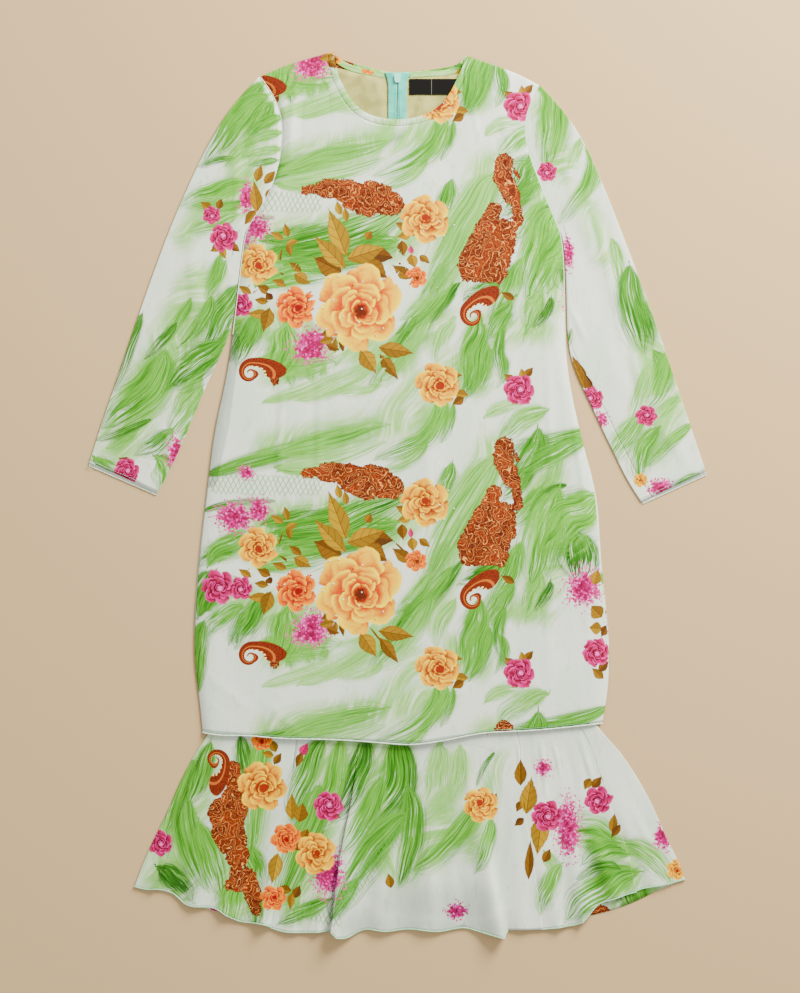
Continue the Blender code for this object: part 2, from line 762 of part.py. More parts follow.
def add_sleeve(side, folds, finish):
    sign = -1.0 if side == "left" else 1.0
    table = SLEEVE_LEFT if side == "left" else SLEEVE_RIGHT
    shift = Vector((sign * SEAM_SHIFT, 0.0))
    armhole = [p + shift for p in curve_points(pairs(ARMHOLE, side), ARMHOLE_NOTCHES + 1)]
    # The first point of each row is down the body's side, so that the cloth turns round its corner.
    underarm = Vector(pairs(ARMHOLE, side)[0])
    below = underarm.lerp(Vector((getattr(TUNIC_SECTIONS[-1], side), TUNIC_SECTIONS[-1].y)), 0.7)
    inner_table = [below] + [(r.inner_x, r.inner_y) for r in table[1:]]
    inner = [p + Vector((sign * SIDE_SHIFT, 0.0)) for p in curve_points(inner_table, SLEEVE_ROWS)]
    outer = [p + shift for p in curve_points([(r.outer_x, r.outer_y) for r in table], SLEEVE_ROWS)]
    outer[0] = armhole[-1]
    armhole = [inner[0]] + armhole
    columns = len(armhole)
    cuff = [inner[-1].lerp(outer[-1], i / (columns - 1)) for i in range(columns)]
    # Rows run from the armhole to the cuff, points from the underarm to the outer fold.
    plan = spread(armhole, cuff, inner, outer, hold=4.0)
    # The cloth swings out past the corner of the body at the underarm.
    for j in (1, 2):
        for i in (1, 2, 3):
            plan[j][i].x += sign * UNDERARM_EASE / (j * max(1, i - 1))
    rows = []
    for j, row in enumerate(plan):
        down = j / (SLEEVE_ROWS - 1)
        # On the right the underarm seam is rolled on to the top, and the front starts past it.
        roll = 0.6 + (UNDERARM_ROLL - 0.6) * ease((down - 0.25) / 0.35) if side == "right" else 0.0
        front = row if side == "left" else past(row, roll + GAP / 2)
        top, under = [], []
        for i, place in enumerate(front):
            swell = ease(min(i, columns - 1 - i) / 2.5) * (0.25 + ease(down * 6.0) * 0.75)
            puff = (0.5 + fold_height(folds, place.x, place.y)) * swell
            top.append((place.x, place.y, FRONT_LEVEL + CLOTH / 2 + puff))
        for i, place in enumerate(row):
            # The back of the cuff peeks out below its front.
            if j == SLEEVE_ROWS - 1:
                place = place + (place - plan[j - 1][i]) * CUFF_DROP
            under.append((place.x, place.y, CLOTH / 2))
        ring = top + turned_edge(row[-1], row[-1] - row[-2], top[-1][2])[::-1] + under[::-1]
        if side == "right":
            level = FRONT_LEVEL + CLOTH / 2
            near = past(row, roll - GAP / 2)[0]
            strip = [(row[0].x, row[0].y, level), (near.x, near.y, level)]
            ring += turned_edge(row[0], row[0] - row[1], level) + strip
        rows.append(ring)
    # Both sleeves are wound so that the wall's outer side faces out.
    if side == "left":
        rows = [row[::-1] for row in rows]
    cloth_sheet(f"sleeve_{side}", rows, finish, offset=0.0)


def add_tape(side, finish):
    sign = -1.0 if side == "left" else 1.0
    rows = []
    for k in range(ZIP_ROWS):
        # Rows are closer near the top, where the tape rides over the pull.
        y = ZIP_TOP - ZIP_LENGTH * (1.0 - math.sqrt(k / (ZIP_ROWS - 1)))
        inner = GAP / 2 + (ZIP_GAP - GAP / 2) * ease((y - ZIP_OPEN) / ZIP_EASE)
        wing = TAPE_WIDTH + TAPE_WING * ease((y - (ZIP_TOP - TAPE_WIDTH)) / TAPE_WIDTH)
        columns = (inner, TAPE_WIDTH * 0.4, TAPE_WIDTH * 0.75, wing)
        row = [(sign * x, y, TAPE_LEVEL + TAPE_LIFT * lift(x, y)) for x in columns]
        rows.append(row if side == "right" else row[::-1])
    cloth_sheet(f"zip_tape_{side}", rows, finish)


def outline_plate(name, points, thickness, finish, holes=()):
    """A flat outline in XY, in mm, thickened evenly about z = 0."""
    curve = bpy.data.curves.new(name, "CURVE")
    curve.dimensions = "2D"
    curve.fill_mode = "BOTH"
    curve.extrude = thickness / 2 * MM
    for ring in (points, *holes):
        line = curve.splines.new("POLY")
        line.points.add(len(ring) - 1)
        for spot, (x, y) in zip(line.points, ring):
            spot.co = (x * MM, y * MM, 0.0, 1.0)
        line.use_cyclic_u = True
    helper = bpy.data.objects.new(name + "_outline", curve)
    bpy.data.collections["baju_kurung"].objects.link(helper)
    graph = bpy.context.evaluated_depsgraph_get()
    mesh = bpy.data.meshes.new_from_object(helper.evaluated_get(graph))
    bpy.data.objects.remove(helper, do_unlink=True)
    bpy.data.curves.remove(curve)
    bm = bmesh.new()
    bm.from_mesh(mesh)
    bmesh.ops.remove_doubles(bm, verts=bm.verts, dist=1e-6)
    bmesh.ops.recalc_face_normals(bm, faces=bm.faces)
    bm.to_mesh(mesh)
    bm.free()
    mesh.name = name
    return add_object(name, mesh, finish)


def circle(radius, count):
    angles = [2 * math.pi * k / count for k in range(count)]
    return [(radius * math.cos(a), radius * math.sin(a)) for a in angles]


def join_solids(base, other):
    """Fuses the other solid into the base, and removes it."""
    merge = base.modifiers.new("join", "BOOLEAN")
    merge.operation = "UNION"
    merge.object = other
    graph = bpy.context.evaluated_depsgraph_get()
    mesh = bpy.data.meshes.new_from_object(base.evaluated_get(graph))
    base.modifiers.clear()
    base.data = mesh
    bpy.data.objects.remove(other, do_unlink=True)


def add_slider(finish):
    half, reach = SLIDER_WIDTH / 2, SLIDER_LENGTH / 2
    shield = [
        (0.0, reach),
        (half * 0.45, reach * 0.78),
        (half * 0.95, reach * 0.55),
        (half, reach * 0.1),
        (half * 0.9, -reach * 0.55),
        (half * 0.7, -reach * 0.9),
        (half * 0.4, -reach),
    ]
    shield += [(-x, y) for x, y in shield[::-1] if x > 0]
    body = outline_plate("zip_slider", shield, SLIDER_THICK, finish)
    body.location = (0, SLIDER_CENTRE * MM, (SLIDER_FLOOR + SLIDER_THICK / 2) * MM)
    # The stem and its eye are one plate that stands in the zip's gap.
    top = SLIDER_FLOOR + 0.6 - HINGE_Z
    side = STEM_LENGTH / 2
    angles = [math.radians(150 + 24 * k) for k in range(11)]
    eye = [(EYE_RADIUS * math.cos(a), EYE_RADIUS * math.sin(a)) for a in angles]
    shoulder = EYE_RADIUS * 0.9
    stem = [(side, shoulder), (side, top), (-side, top), (-side, shoulder)]
    plate = outline_plate("zip_stem", eye + stem, STEM_THICK, finish, holes=[circle(EYE_HOLE, 14)])
    plate.rotation_euler = (math.radians(90), 0, math.radians(90))
    plate.location = (0, HINGE_Y * MM, HINGE_Z * MM)
    bpy.context.view_layer.update()
    join_solids(body, plate)


def add_pull(finish):
    half = PULL_WIDTH / 2
    arm = STEM_THICK / 2 + GAP
    window = 2.0
    outline = [(-half, 0.0), (-half * 0.9, -PULL_LENGTH * 0.5), (-half, -PULL_LENGTH * 0.75)]
    outline += [
        (half * math.cos(a), -PULL_LENGTH + half + half * math.sin(a))
        for a in [math.radians(200 + 20 * k) for k in range(8)]
    ]
    outline += [(half, -PULL_LENGTH * 0.75), (half * 0.9, -PULL_LENGTH * 0.5), (half, 0.0)]
    outline += [(arm, 0.0), (arm, -window), (-arm, -window), (-arm, 0.0)]
    plate = outline_plate("zip_pull", outline, PULL_THICK, finish)
    bm = bmesh.new()
    radius, depth = PULL_PIN * MM, (PULL_WIDTH - 0.4) * MM
    bmesh.ops.create_cone(bm, cap_ends=True, segments=12, radius1=radius, radius2=radius, depth=depth)
    mesh = bpy.data.meshes.new("zip_pin")
    bm.to_mesh(mesh)
    bm.free()
    pin = add_object("zip_pin", mesh, finish)
    pin.rotation_euler = (0, math.radians(90), 0)
    bpy.context.view_layer.update()
    join_solids(plate, pin)
    # The pull hangs from the eye and its free end touches the surface under the garment.
    slope = math.asin((HINGE_Z - PULL_THICK / 2 - 0.02) / PULL_LENGTH)
    plate.rotation_euler = (slope, 0, 0)
    plate.location = (0, HINGE_Y * MM, HINGE_Z * MM)


def add_label(finish):
    rows = []
    for y in (LABEL_TOP - LABEL_HEIGHT, LABEL_TOP - LABEL_HEIGHT / 2, LABEL_TOP):
        rows.append([(LABEL_LEFT + LABEL_LENGTH * k / 8.0, y, LABEL_LEVEL) for k in range(9)])
    cloth_sheet("neck_label", rows, finish)


def add_skirt(part, level, finish):
    left = curve_points([(row.left, row.y) for row in SKIRT_SECTIONS], 9)
    right = curve_points([(row.right, row.y) for row in SKIRT_SECTIONS], 9)
    rows = [[(a.lerp(b, k / 4.0).x, a.y, level) for k in range(5)] for a, b in zip(left, right)]
    cloth_sheet(f"skirt_{part}", rows, finish)
    band_left, band_right = SKIRT_SECTIONS[-1].left, SKIRT_SECTIONS[-1].right
    rows = []
    for y in (WAIST_SEAM + 0.1, WAIST_TOP):
        rows.append([(band_left + (band_right - band_left) * k / 4.0, y, level) for k in range(5)])
    cloth_sheet(f"skirt_waistband_{part}", rows, finish)


def back_drop(y):
    """Underside of the flounce's back: on the lining inside the tunic, on the floor past its hem."""
    inside = (y - FLOUNCE_ON_FLOOR) / (FLOUNCE_AT_BACK_HEM - FLOUNCE_ON_FLOOR)
    return SKIRT_BACK_LEVEL * clamp(inside)


def gore_rows(left, right, hem, columns, rows_below=9):
    """Plan points of a gore from its hem up to the flounce seam, and how far down each row is."""
    hem_points = curve_points(hem, columns)
    plan, downs = [], []
    fixed = (FLOUNCE_SEAM, FLOUNCE_AT_BACK_HEM, FLOUNCE_ON_FLOOR)
    for j in range(rows_below + len(fixed)):
        down = clamp((j - len(fixed) + 1) / rows_below)
        ends = []
        for edge in (left, right):
            y = fixed[j] if j < len(fixed) else FLOUNCE_ON_FLOOR + (edge[-1].y - FLOUNCE_ON_FLOOR) * down
            ends.append(Vector((edge_at(edge, y), y)))
        row = []
        for i in range(columns):
            u = i / (columns - 1)
            place = ends[0].lerp(ends[1], u)
            straight = hem_points[0].lerp(hem_points[-1], u)
            row.append(place + (hem_points[i] - straight) * down**2)
        plan.append(row)
        downs.append(down)
    return plan[::-1], downs[::-1]


def shape_gore(plan, downs, folds, base, edge_lift=(0.0, 0.0), reach=0.2):
    """Adds the height of the folds, which grow down to the hem and may lean."""
    rows = []
    for row, down in zip(plan, downs):
        points = []
        for i, place in enumerate(row):
            u = i / (len(row) - 1)
            level, shift = base(place.y), 0.0
            raised = edge_lift[0] * ease(1.0 - u / reach) + edge_lift[1] * ease(1.0 - (1.0 - u) / reach)
            level += raised * ease(down * 6.0)
            for fold in folds:
                middle = fold.top + (fold.hem - fold.top) * down
                grown = clamp((down - fold.start) / (1.0 - fold.start)) ** 1.3
                across = bump((place.x - middle) / (fold.width * (0.55 + 0.45 * down)))
                level += fold.height * grown * across
                shift += fold.lean * grown * across
            points.append((place.x + shift, place.y, level))
        rows.append(points)
    return rows


def front_base(y):
    return back_drop(y) + STEP


def add_front_gore(number, left, right, hem, folds, finish, columns, edge_lift=0.0, laps=(0.0, 0.0)):
    """A gore of the front. A lap carries its edge on under the next one, or over it where it is lifted."""
    plan, downs = gore_rows(left, right, hem, columns)
    for row, down in zip(plan, downs):
        grown = ease((down - 0.2) * 2.0)
        row[0].x += GAP / 2 - laps[0] * grown
        row[-1].x += laps[1] * grown - GAP / 2
    rows = shape_gore(plan, downs, folds, front_base, (0.0, edge_lift))
    cloth_sheet(f"flounce_front_{number}", rows, finish)


def add_side_gore(name, front, back, folds, lift_seam, finish, mirrored):
    """A gore that folds round the silhouette: front columns, the fold, then back columns."""
    front_plan, downs = gore_rows(*front)
    back_plan, _ = gore_rows(*back)
    edge_lift = (0.0, lift_seam) if not mirrored else (lift_seam, 0.0)
    front_points = shape_gore(front_plan, downs, folds, front_base, edge_lift, reach=0.6)
    rows = []
    for f_row, b_row, down in zip(front_points, back_plan, downs):
        f_row = [(x, y, z + CLOTH / 2) for x, y, z in f_row]
        b_row = [(p.x, p.y, back_drop(p.y) + CLOTH / 2) for p in b_row]
        if not mirrored:
            f_row, b_row = f_row[::-1], b_row[::-1]
        # Both now run from their seams to the silhouette.
        seam_gap = GAP / 2 if mirrored else -GAP / 2
        f_row[0] = (f_row[0][0] + seam_gap, *f_row[0][1:])
        b_row[0] = (b_row[0][0] + seam_gap, *b_row[0][1:])
        f_end, b_end = Vector(f_row[-1]), Vector(b_row[-1])
        radius = (f_end.z - b_end.z) / 2
        outward = 1.0 if mirrored else -1.0
        arc = []
        for k in range(1, FOLD_STEPS + 1):
            angle = math.pi * k / (FOLD_STEPS + 1)
            mid = f_end.lerp(b_end, (1 - math.cos(angle)) / 2)
            arc.append((mid.x + outward * radius * math.sin(angle), mid.y, mid.z))
        ring = f_row + arc + b_row[::-1]
        rows.append(ring if mirrored else ring[::-1])
    cloth_sheet(name, rows, finish, offset=0.0)


def add_back_gore(name, left, right, hem, columns, finish):
    plan, _ = gore_rows(left, right, hem, columns)
    for row in plan:
        row[0].x += GAP / 2
        row[-1].x -= GAP / 2
    rows = [[(p.x, p.y, back_drop(p.y)) for p in row] for row in plan]
    cloth_sheet(name, rows, finish)


def build():
    clear_scene()
    collection = bpy.data.collections.new("baju_kurung")
    bpy.context.scene.collection.children.link(collection)
    chiffon = ((0.68, 0.74, 0.63), 0.75)
    lining = ((0.47, 0.45, 0.26), 0.6)
    tape = ((0.22, 0.58, 0.50), 0.6)
    enamel = ((0.24, 0.60, 0.52), 0.35)
    label = ((0.012, 0.012, 0.012), 0.7)

    add_tunic_front(chiffon)
    add_neck_binding(chiffon)
    for side, folds in (("left", SLEEVE_FOLDS_LEFT), ("right", SLEEVE_FOLDS_RIGHT)):
        add_tunic_back(side, chiffon)
        add_lining_back(side, lining)
        add_facing(side, chiffon)
        add_sleeve(side, folds, chiffon)
        add_tape(side, tape)
    add_slider(enamel)
    add_pull(enamel)
    add_label(label)

    add_skirt("back", SKIRT_BACK_LEVEL, chiffon)
    add_skirt("front", SKIRT_FRONT_LEVEL, chiffon)
    add_side_gore(
        "flounce_side_left",
        (FLOUNCE_LEFT, SEAM_A, HEM_STRIP, 4),
        (FLOUNCE_LEFT, BACK_SEAM_LEFT, HEM_LEFT_BACK, 5),
        (),
        2.4,
        chiffon,
        mirrored=False,
    )
    add_front_gore(1, SEAM_A, SEAM_B, HEM_GORE_1, FOLDS_GORE_1, chiffon, 15, edge_lift=1.6, laps=(3.0, 4.0))
    add_front_gore(2, SEAM_B, SEAM_C, HEM_GORE_2, FOLDS_GORE_2, chiffon, 9)
    add_front_gore(3, SEAM_C, SEAM_F, HEM_GORE_3, FOLDS_GORE_3, chiffon, 28, edge_lift=1.6, laps=(0.0, 4.0))
    add_front_gore(4, SEAM_F, SEAM_G, HEM_GORE_4, FOLDS_GORE_4, chiffon, 13, edge_lift=1.6, laps=(0.0, 4.0))
    add_side_gore(
        "flounce_side_right",
        (SEAM_G, FLOUNCE_RIGHT, HEM_RIGHT_FRONT, 6),
        (BACK_SEAM_RIGHT, FLOUNCE_RIGHT, HEM_RIGHT_BACK, 6),
        FOLDS_RIGHT,
        0.0,
        chiffon,
        mirrored=True,
    )
    add_back_gore("flounce_back_1", BACK_SEAM_LEFT, BACK_SEAM_MIDDLE, HEM_BACK_1, 6, chiffon)
    add_back_gore("flounce_back_2", BACK_SEAM_MIDDLE, BACK_SEAM_RIGHT, HEM_BACK_2, 6, chiffon)


build()
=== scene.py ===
"""The baju kurung of the photo: a printed chiffon tunic laid flat on its flounced skirt."""

import math
import random
from collections import namedtuple

import bmesh
import bpy
import numpy as np
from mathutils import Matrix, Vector


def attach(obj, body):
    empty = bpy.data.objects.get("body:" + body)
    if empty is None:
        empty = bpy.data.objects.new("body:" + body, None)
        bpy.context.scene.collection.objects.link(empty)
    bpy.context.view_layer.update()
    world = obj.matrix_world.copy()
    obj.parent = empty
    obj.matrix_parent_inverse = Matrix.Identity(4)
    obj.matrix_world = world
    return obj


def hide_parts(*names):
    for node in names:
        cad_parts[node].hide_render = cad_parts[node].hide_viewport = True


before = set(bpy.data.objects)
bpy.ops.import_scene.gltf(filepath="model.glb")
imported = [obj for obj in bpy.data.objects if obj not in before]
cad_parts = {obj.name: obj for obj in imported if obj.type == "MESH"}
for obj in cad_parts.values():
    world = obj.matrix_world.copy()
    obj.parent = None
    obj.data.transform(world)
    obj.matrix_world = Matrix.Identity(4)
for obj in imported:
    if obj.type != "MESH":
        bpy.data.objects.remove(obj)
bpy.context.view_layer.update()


# Tunic front: one panel of printed chiffon laid on a pale lining, cut on the fold with set-in armholes.
# The lining stops short of the hem and of the left edge, so those strips are sheer.
# Its print is flowers, leaves, batik patches and brush marks, repeated down the cloth.

TURN_LIMIT = math.radians(64)
CORNER_TURN = math.radians(35)
FAR = 9.0
FACE_SIZE = 7.0
TILE_HEIGHT = 396
LEAF_LAYERS = ["leaf_a", "leaf_b", "leaf_c"]
STROKE_LAYERS = ["stroke_a", "stroke_b", "stroke_c", "stroke_d", "stroke_e"]
FILM_DEPTH = 1.32
SLIT_LENGTH = 0.15
FILM_PURITY = 1.22
UNDER_SHIFT = Vector((37, 150))

Fold = namedtuple("Fold", "x0 y0 x1 y1 half_width height")
Flower = namedtuple("Flower", "x y radius kind turn")
Leaf = namedtuple("Leaf", "tip_x tip_y base_x base_y width tone")
Cluster = namedtuple("Cluster", "x y half_width half_height")
Whirl = namedtuple("Whirl", "x y radius turn")
Stroke = namedtuple("Stroke", "x0 y0 x1 y1 x2 y2 half_width tone")
Patch = namedtuple("Patch", "x0 y0 x1 y1 radius")
Print = namedtuple("Print", "flowers leaves clusters whirls strokes batik net washes repeats")


def take(obj):
    """Leaves obj as the only selected object, as operators expect."""
    bpy.ops.object.select_all(action="DESELECT")
    obj.select_set(True)
    bpy.context.view_layer.objects.active = obj


def apply_modifier(obj, kind, **settings):
    take(obj)
    bpy.ops.object.modifier_add(type=kind)
    modifier = obj.modifiers[-1]
    for name, value in settings.items():
        setattr(modifier, name, value)
    bpy.ops.object.modifier_apply(modifier=modifier.name)


def flat_sides(bm):
    """Groups of faces that meet at less than a sharp turn, largest first."""
    sides = []
    for face in bm.faces:
        face.tag = False
    for first in bm.faces:
        if first.tag:
            continue
        first.tag = True
        side = [first]
        for face in side:
            for edge in face.edges:
                if len(edge.link_faces) == 2 and edge.calc_face_angle() < TURN_LIMIT:
                    for other in edge.link_faces:
                        if not other.tag:
                            other.tag = True
                            side.append(other)
        sides.append(side)
    return sorted(sides, key=lambda side: -sum(face.calc_area() for face in side))


def rims(bm):
    """The open edges, loop by loop."""
    loops = []
    seen = set()
    for first in bm.edges:
        if not first.is_boundary or first in seen:
            continue
        seen.add(first)
        loop = [first]
        for edge in loop:
            for vert in edge.verts:
                for other in vert.link_edges:
                    if other.is_boundary and other not in seen:
                        seen.add(other)
                        loop.append(other)
        loops.append(loop)
    return loops


def mean_height(side):
    return sum(face.calc_center_median().z for face in side) / len(side)


def one_side(node, under=False, weld=0.0):
    """The upper, lower or outer side of a CAD panel, as a mesh of quads of its own."""
    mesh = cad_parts[node].data.copy()
    mesh.name = node + "_cloth"
    mesh.materials.clear()
    obj = bpy.data.objects.new(mesh.name, mesh)
    bpy.context.collection.objects.link(obj)
    bm = bmesh.new()
    bm.from_mesh(mesh)
    bmesh.ops.remove_doubles(bm, verts=bm.verts, dist=0.00001)
    sides = flat_sides(bm)
    outer = sides[0]
    if abs(mean_height(sides[0]) - mean_height(sides[1])) > 0.0005:
        outer = min(sides[:2], key=mean_height) if under else max(sides[:2], key=mean_height)
    bmesh.ops.delete(bm, geom=[face for side in sides if side is not outer for face in side], context="FACES")
    if weld:
        bmesh.ops.remove_doubles(bm, verts=[vert for vert in bm.verts if vert.is_boundary], dist=weld)
    slits = [loop for loop in rims(bm) if sum(edge.calc_length() for edge in loop) < SLIT_LENGTH]
    if slits:
        bmesh.ops.holes_fill(bm, edges=[edge for loop in slits for edge in loop], sides=0)
    bmesh.ops.join_triangles(bm, faces=bm.faces, angle_face_threshold=math.pi, angle_shape_threshold=math.pi)
    crease = bm.verts.layers.float.new("crease_vert")
    for vert in bm.verts:
        rim = [edge.other_vert(vert).co - vert.co for edge in vert.link_edges if edge.is_boundary]
        if len(rim) == 2 and math.pi - rim[0].angle(rim[1]) > CORNER_TURN:
            vert[crease] = 1.0
    bm.to_mesh(mesh)
    bm.free()
    for name in ("custom_normal", "sharp_edge", "sharp_face"):
        if name in mesh.attributes:
            mesh.attributes.remove(mesh.attributes[name])
    mesh.shade_smooth()
    return obj


def positions(mesh):
    values = np.empty(len(mesh.vertices) * 3)
    mesh.vertices.foreach_get("co", values)
    return values.reshape(-1, 3)


def normals(mesh):
    values = np.empty(len(mesh.vertices) * 3)
    mesh.vertices.foreach_get("normal", values)
    return values.reshape(-1, 3)


def relax(obj, times):
    """Evens out the heights between neighbours, so that no edge of the coarser solid shows as a crack."""
    mesh = obj.data
    co = positions(mesh)
    ends = np.empty(len(mesh.edges) * 2, int)
    mesh.edges.foreach_get("vertices", ends)
    ends = ends.reshape(-1, 2)
    corners = np.empty(len(mesh.loops), int)
    mesh.loops.foreach_get("edge_index", corners)
    rim = np.unique(ends[np.bincount(corners, minlength=len(ends)) == 1])
    count = np.bincount(ends.ravel(), minlength=len(co))
    for _ in range(times):
        total = np.bincount(ends[:, 0], co[ends[:, 1], 2], len(co)) + np.bincount(
            ends[:, 1], co[ends[:, 0], 2], len(co)
        )
        even = total / count
        even[rim] = co[rim, 2]
        co[:, 2] = even
    mesh.vertices.foreach_set("co", co.ravel())
    mesh.update()


def segment_place(points, x0, y0, x1, y1):
    """How far each point is along a segment, from 0 to 1, and how far from it."""
    start = np.array((x0, y0), float)
    along = np.array((x1, y1), float) - start
    t = ((points - start) @ along) / max(along @ along, 1e-9)
    held = np.clip(t, 0, 1)
    return held, np.linalg.norm(points - start - held[..., None] * along, axis=-1)


def fold(obj, folds, up=True):
    """Raises soft ridges, and lowers troughs, on the side of the cloth that faces up or down."""
    mesh = obj.data
    co = positions(mesh)
    facing = normals(mesh)[:, 2] > 0 if up else normals(mesh)[:, 2] < 0
    flat = co[:, :2] * 1000
    for row in folds:
        t, distance = segment_place(flat, row.x0, row.y0, row.x1, row.y1)
        ridge = np.cos(np.clip(distance / row.half_width, 0, 1) * math.pi / 2) ** 2
        co[:, 2] += facing * ridge * (0.35 + 0.65 * np.sin(t * math.pi)) * row.height / 1000
    mesh.vertices.foreach_set("co", co.ravel())
    mesh.update()


def spine(shape):
    """The line through the middle of a leaf or brush mark, and half its width."""
    if isinstance(shape, Leaf):
        return np.array([(shape.tip_x, shape.tip_y), (shape.base_x, shape.base_y)], float), shape.width / 2
    t = np.linspace(0, 1, 17)[:, None]
    ends = [np.array(p, float) for p in ((shape.x0, shape.y0), (shape.x1, shape.y1), (shape.x2, shape.y2))]
    middle = 2 * ends[1] - (ends[0] + ends[2]) / 2
    return (1 - t) ** 2 * ends[0] + 2 * t * (1 - t) * middle + t**2 * ends[2], shape.half_width


def place_in(shape, points):
    """Each point's place in a shape, across and along it, and how far out of the shape it is."""
    if isinstance(shape, (Flower, Whirl, Cluster)):
        angle = math.radians(getattr(shape, "turn", 0))
        out = points - (shape.x, shape.y)
        sizes = (shape.half_width, shape.half_height) if isinstance(shape, Cluster) else (
            shape.radius, shape.radius
        )
        x = (out[..., 0] * math.cos(angle) + out[..., 1] * math.sin(angle)) / sizes[0]
        y = (out[..., 1] * math.cos(angle) - out[..., 0] * math.sin(angle)) / sizes[1]
        return x, y, np.hypot(x, y)
    line, half_width = spine(shape)
    steps = np.linalg.norm(line[1:] - line[:-1], axis=1)
    run = 0.0
    nearest = np.full(points.shape[:-1], 1e9)
    u = np.zeros(points.shape[:-1])
    v = np.zeros(points.shape[:-1])
    for a, b, step in zip(line, line[1:], steps):
        t, distance = segment_place(points, *a, *b)
        cross = (b[0] - a[0]) * (points[..., 1] - a[1]) - (b[1] - a[1]) * (points[..., 0] - a[0])
        closer = distance < nearest
        u = np.where(closer, run + t * step, u)
        v = np.where(closer, np.sign(cross) * distance, v)
        nearest = np.where(closer, distance, nearest)
        run += step
    if isinstance(shape, Leaf):
        along = (points - line[0]) @ (line[1] - line[0]) / run**2
        return along, v / half_width, np.hypot(2 * along - 1, v / half_width)
    along = u / run
    taper = np.clip(4 * along * (1 - along), 0.03, 1) ** 0.35
    return along, v / (half_width * taper), np.abs(v) / (half_width * taper)


def mark(shape, number):
    """One number that says which shape this is and how it is painted."""
    if isinstance(shape, Flower):
        return shape.kind + 0.1 + 0.08 * (number % 10)
    return number % 50 + getattr(shape, "tone", 0.5)


def in_layers(shapes, count):
    """Shares shapes out so that those that cross are in different layers."""
    layers = [[] for _ in range(count)]
    for shape in shapes:
        line, half = spine(shape)
        room = []
        for layer in layers:
            gaps = [
                np.linalg.norm(line[:, None] - other[None], axis=-1).min() - half - width
                for other, width in map(spine, layer)
            ]
            room.append(min(gaps, default=FAR))
            if room[-1] > 3 + 0.35 * half:
                break
        layers[int(np.argmax(room))].append(shape)
    return layers


def laid_out(design):
    """The print repeated down the cloth, its leaves and brush marks shared out to layers, once for all."""
    shifts = [TILE_HEIGHT * step for step in (1, 0, -1, -2)] if design.repeats else [0]
    every = {
        name: [shifted(shape, shift) for shift in shifts for shape in getattr(design, name)]
        for name in design._fields
        if name != "repeats"
    }
    every["leaves"] = in_layers(every["leaves"], len(LEAF_LAYERS))
    every["strokes"] = in_layers(every["strokes"], len(STROKE_LAYERS))
    return design._replace(**every)


def shifted(shape, shift):
    heights = [name for name in shape._fields if name.startswith("y") or name.endswith("_y")]
    moved = {name: getattr(shape, name) + shift for name in heights}
    return shape._replace(**moved)


def write_places(obj, name, shapes, points):
    """Writes to every face corner its place in the nearest shape of one layer."""
    place = np.full(points.shape[:2] + (3,), FAR)
    best = np.full(len(points), 1000.0)
    middle = points.mean(axis=1)
    for number, shape in enumerate(shapes):
        if isinstance(shape, (Leaf, Stroke)):
            line, reach = spine(shape)
            low, high = line.min(axis=0) - 2.2 * reach - FACE_SIZE, line.max(axis=0) + 2.2 * reach + FACE_SIZE
        else:
            reach = 1.7 * (
                max(shape.half_width, shape.half_height) if isinstance(shape, Cluster) else shape.radius
            )
            low, high = np.array((shape.x, shape.y)) - reach, np.array((shape.x, shape.y)) + reach
        near = np.nonzero(((middle > low) & (middle < high)).all(axis=1))[0]
        if not len(near):
            continue
        x, y, out = place_in(shape, points[near])
        limit = max(2.0, 1.3 + FACE_SIZE / reach) if isinstance(shape, Leaf) else 2.0
        closer = out.mean(axis=1) < np.minimum(best[near], limit)
        chosen = near[closer]
        best[chosen] = out.mean(axis=1)[closer]
        place[chosen, :, 0] = x[closer]
        place[chosen, :, 1] = y[closer]
        place[chosen, :, 2] = mark(shape, number)
    attribute = obj.data.attributes.new(name, "FLOAT_VECTOR", "CORNER")
    attribute.data.foreach_set("vector", place.reshape(-1).astype(np.float32))


def write_distance(obj, name, patches, points, softness=1.0):
    """Writes how far each vertex is outside the nearest patch, in millimetres, and below zero inside."""
    distance = np.full(len(points), 40.0)
    for patch in patches:
        out = segment_place(points, patch.x0, patch.y0, patch.x1, patch.y1)[1] - patch.radius
        distance = np.minimum(distance, out)
    attribute = obj.data.attributes.new(name, "FLOAT", "POINT")
    attribute.data.foreach_set("value", (distance / softness).astype(np.float32))


def write_print(obj, design, sheer=(), softness=1.0):
    """Lays the print on the cloth: the upper side as in the photo, the under side moved along."""
    mesh = obj.data
    co = positions(mesh)[:, :2] * 1000
    corners = np.empty(len(mesh.loops), int)
    mesh.loops.foreach_get("vertex_index", corners)
    points = co[corners].reshape(-1, 4, 2)
    up = np.empty(len(mesh.polygons) * 3)
    mesh.polygons.foreach_get("normal", up)
    under = up.reshape(-1, 3)[:, 2] < 0
    points[under] = points[under] * (-1, 1) + UNDER_SHIFT
    vertex_points = co.copy()
    below = normals(mesh)[:, 2] < 0
    vertex_points[below] = vertex_points[below] * (-1, 1) + UNDER_SHIFT
    write_places(obj, "bloom", design.flowers, points)
    write_places(obj, "cluster", design.clusters, points)
    write_places(obj, "whirl", design.whirls, points)
    for name, layer in zip(LEAF_LAYERS + STROKE_LAYERS, design.leaves + design.strokes):
        write_places(obj, name, layer, points)
    write_distance(obj, "batik", design.batik, vertex_points)
    write_distance(obj, "net", design.net, vertex_points)
    write_distance(obj, "wash", design.washes, vertex_points)
    write_distance(obj, "sheer", sheer, co, softness)


def colour(red, green, blue):
    """A display colour from 0 to 255 as a linear one, made deeper and purer against the soft film look."""
    linear = [((c / 255 + 0.055) / 1.055) ** (2.4 * FILM_DEPTH) for c in (red, green, blue)]
    grey = sum(linear) / 3
    return tuple(max(0.0, grey + FILM_PURITY * (c - grey)) for c in linear) + (1.0,)


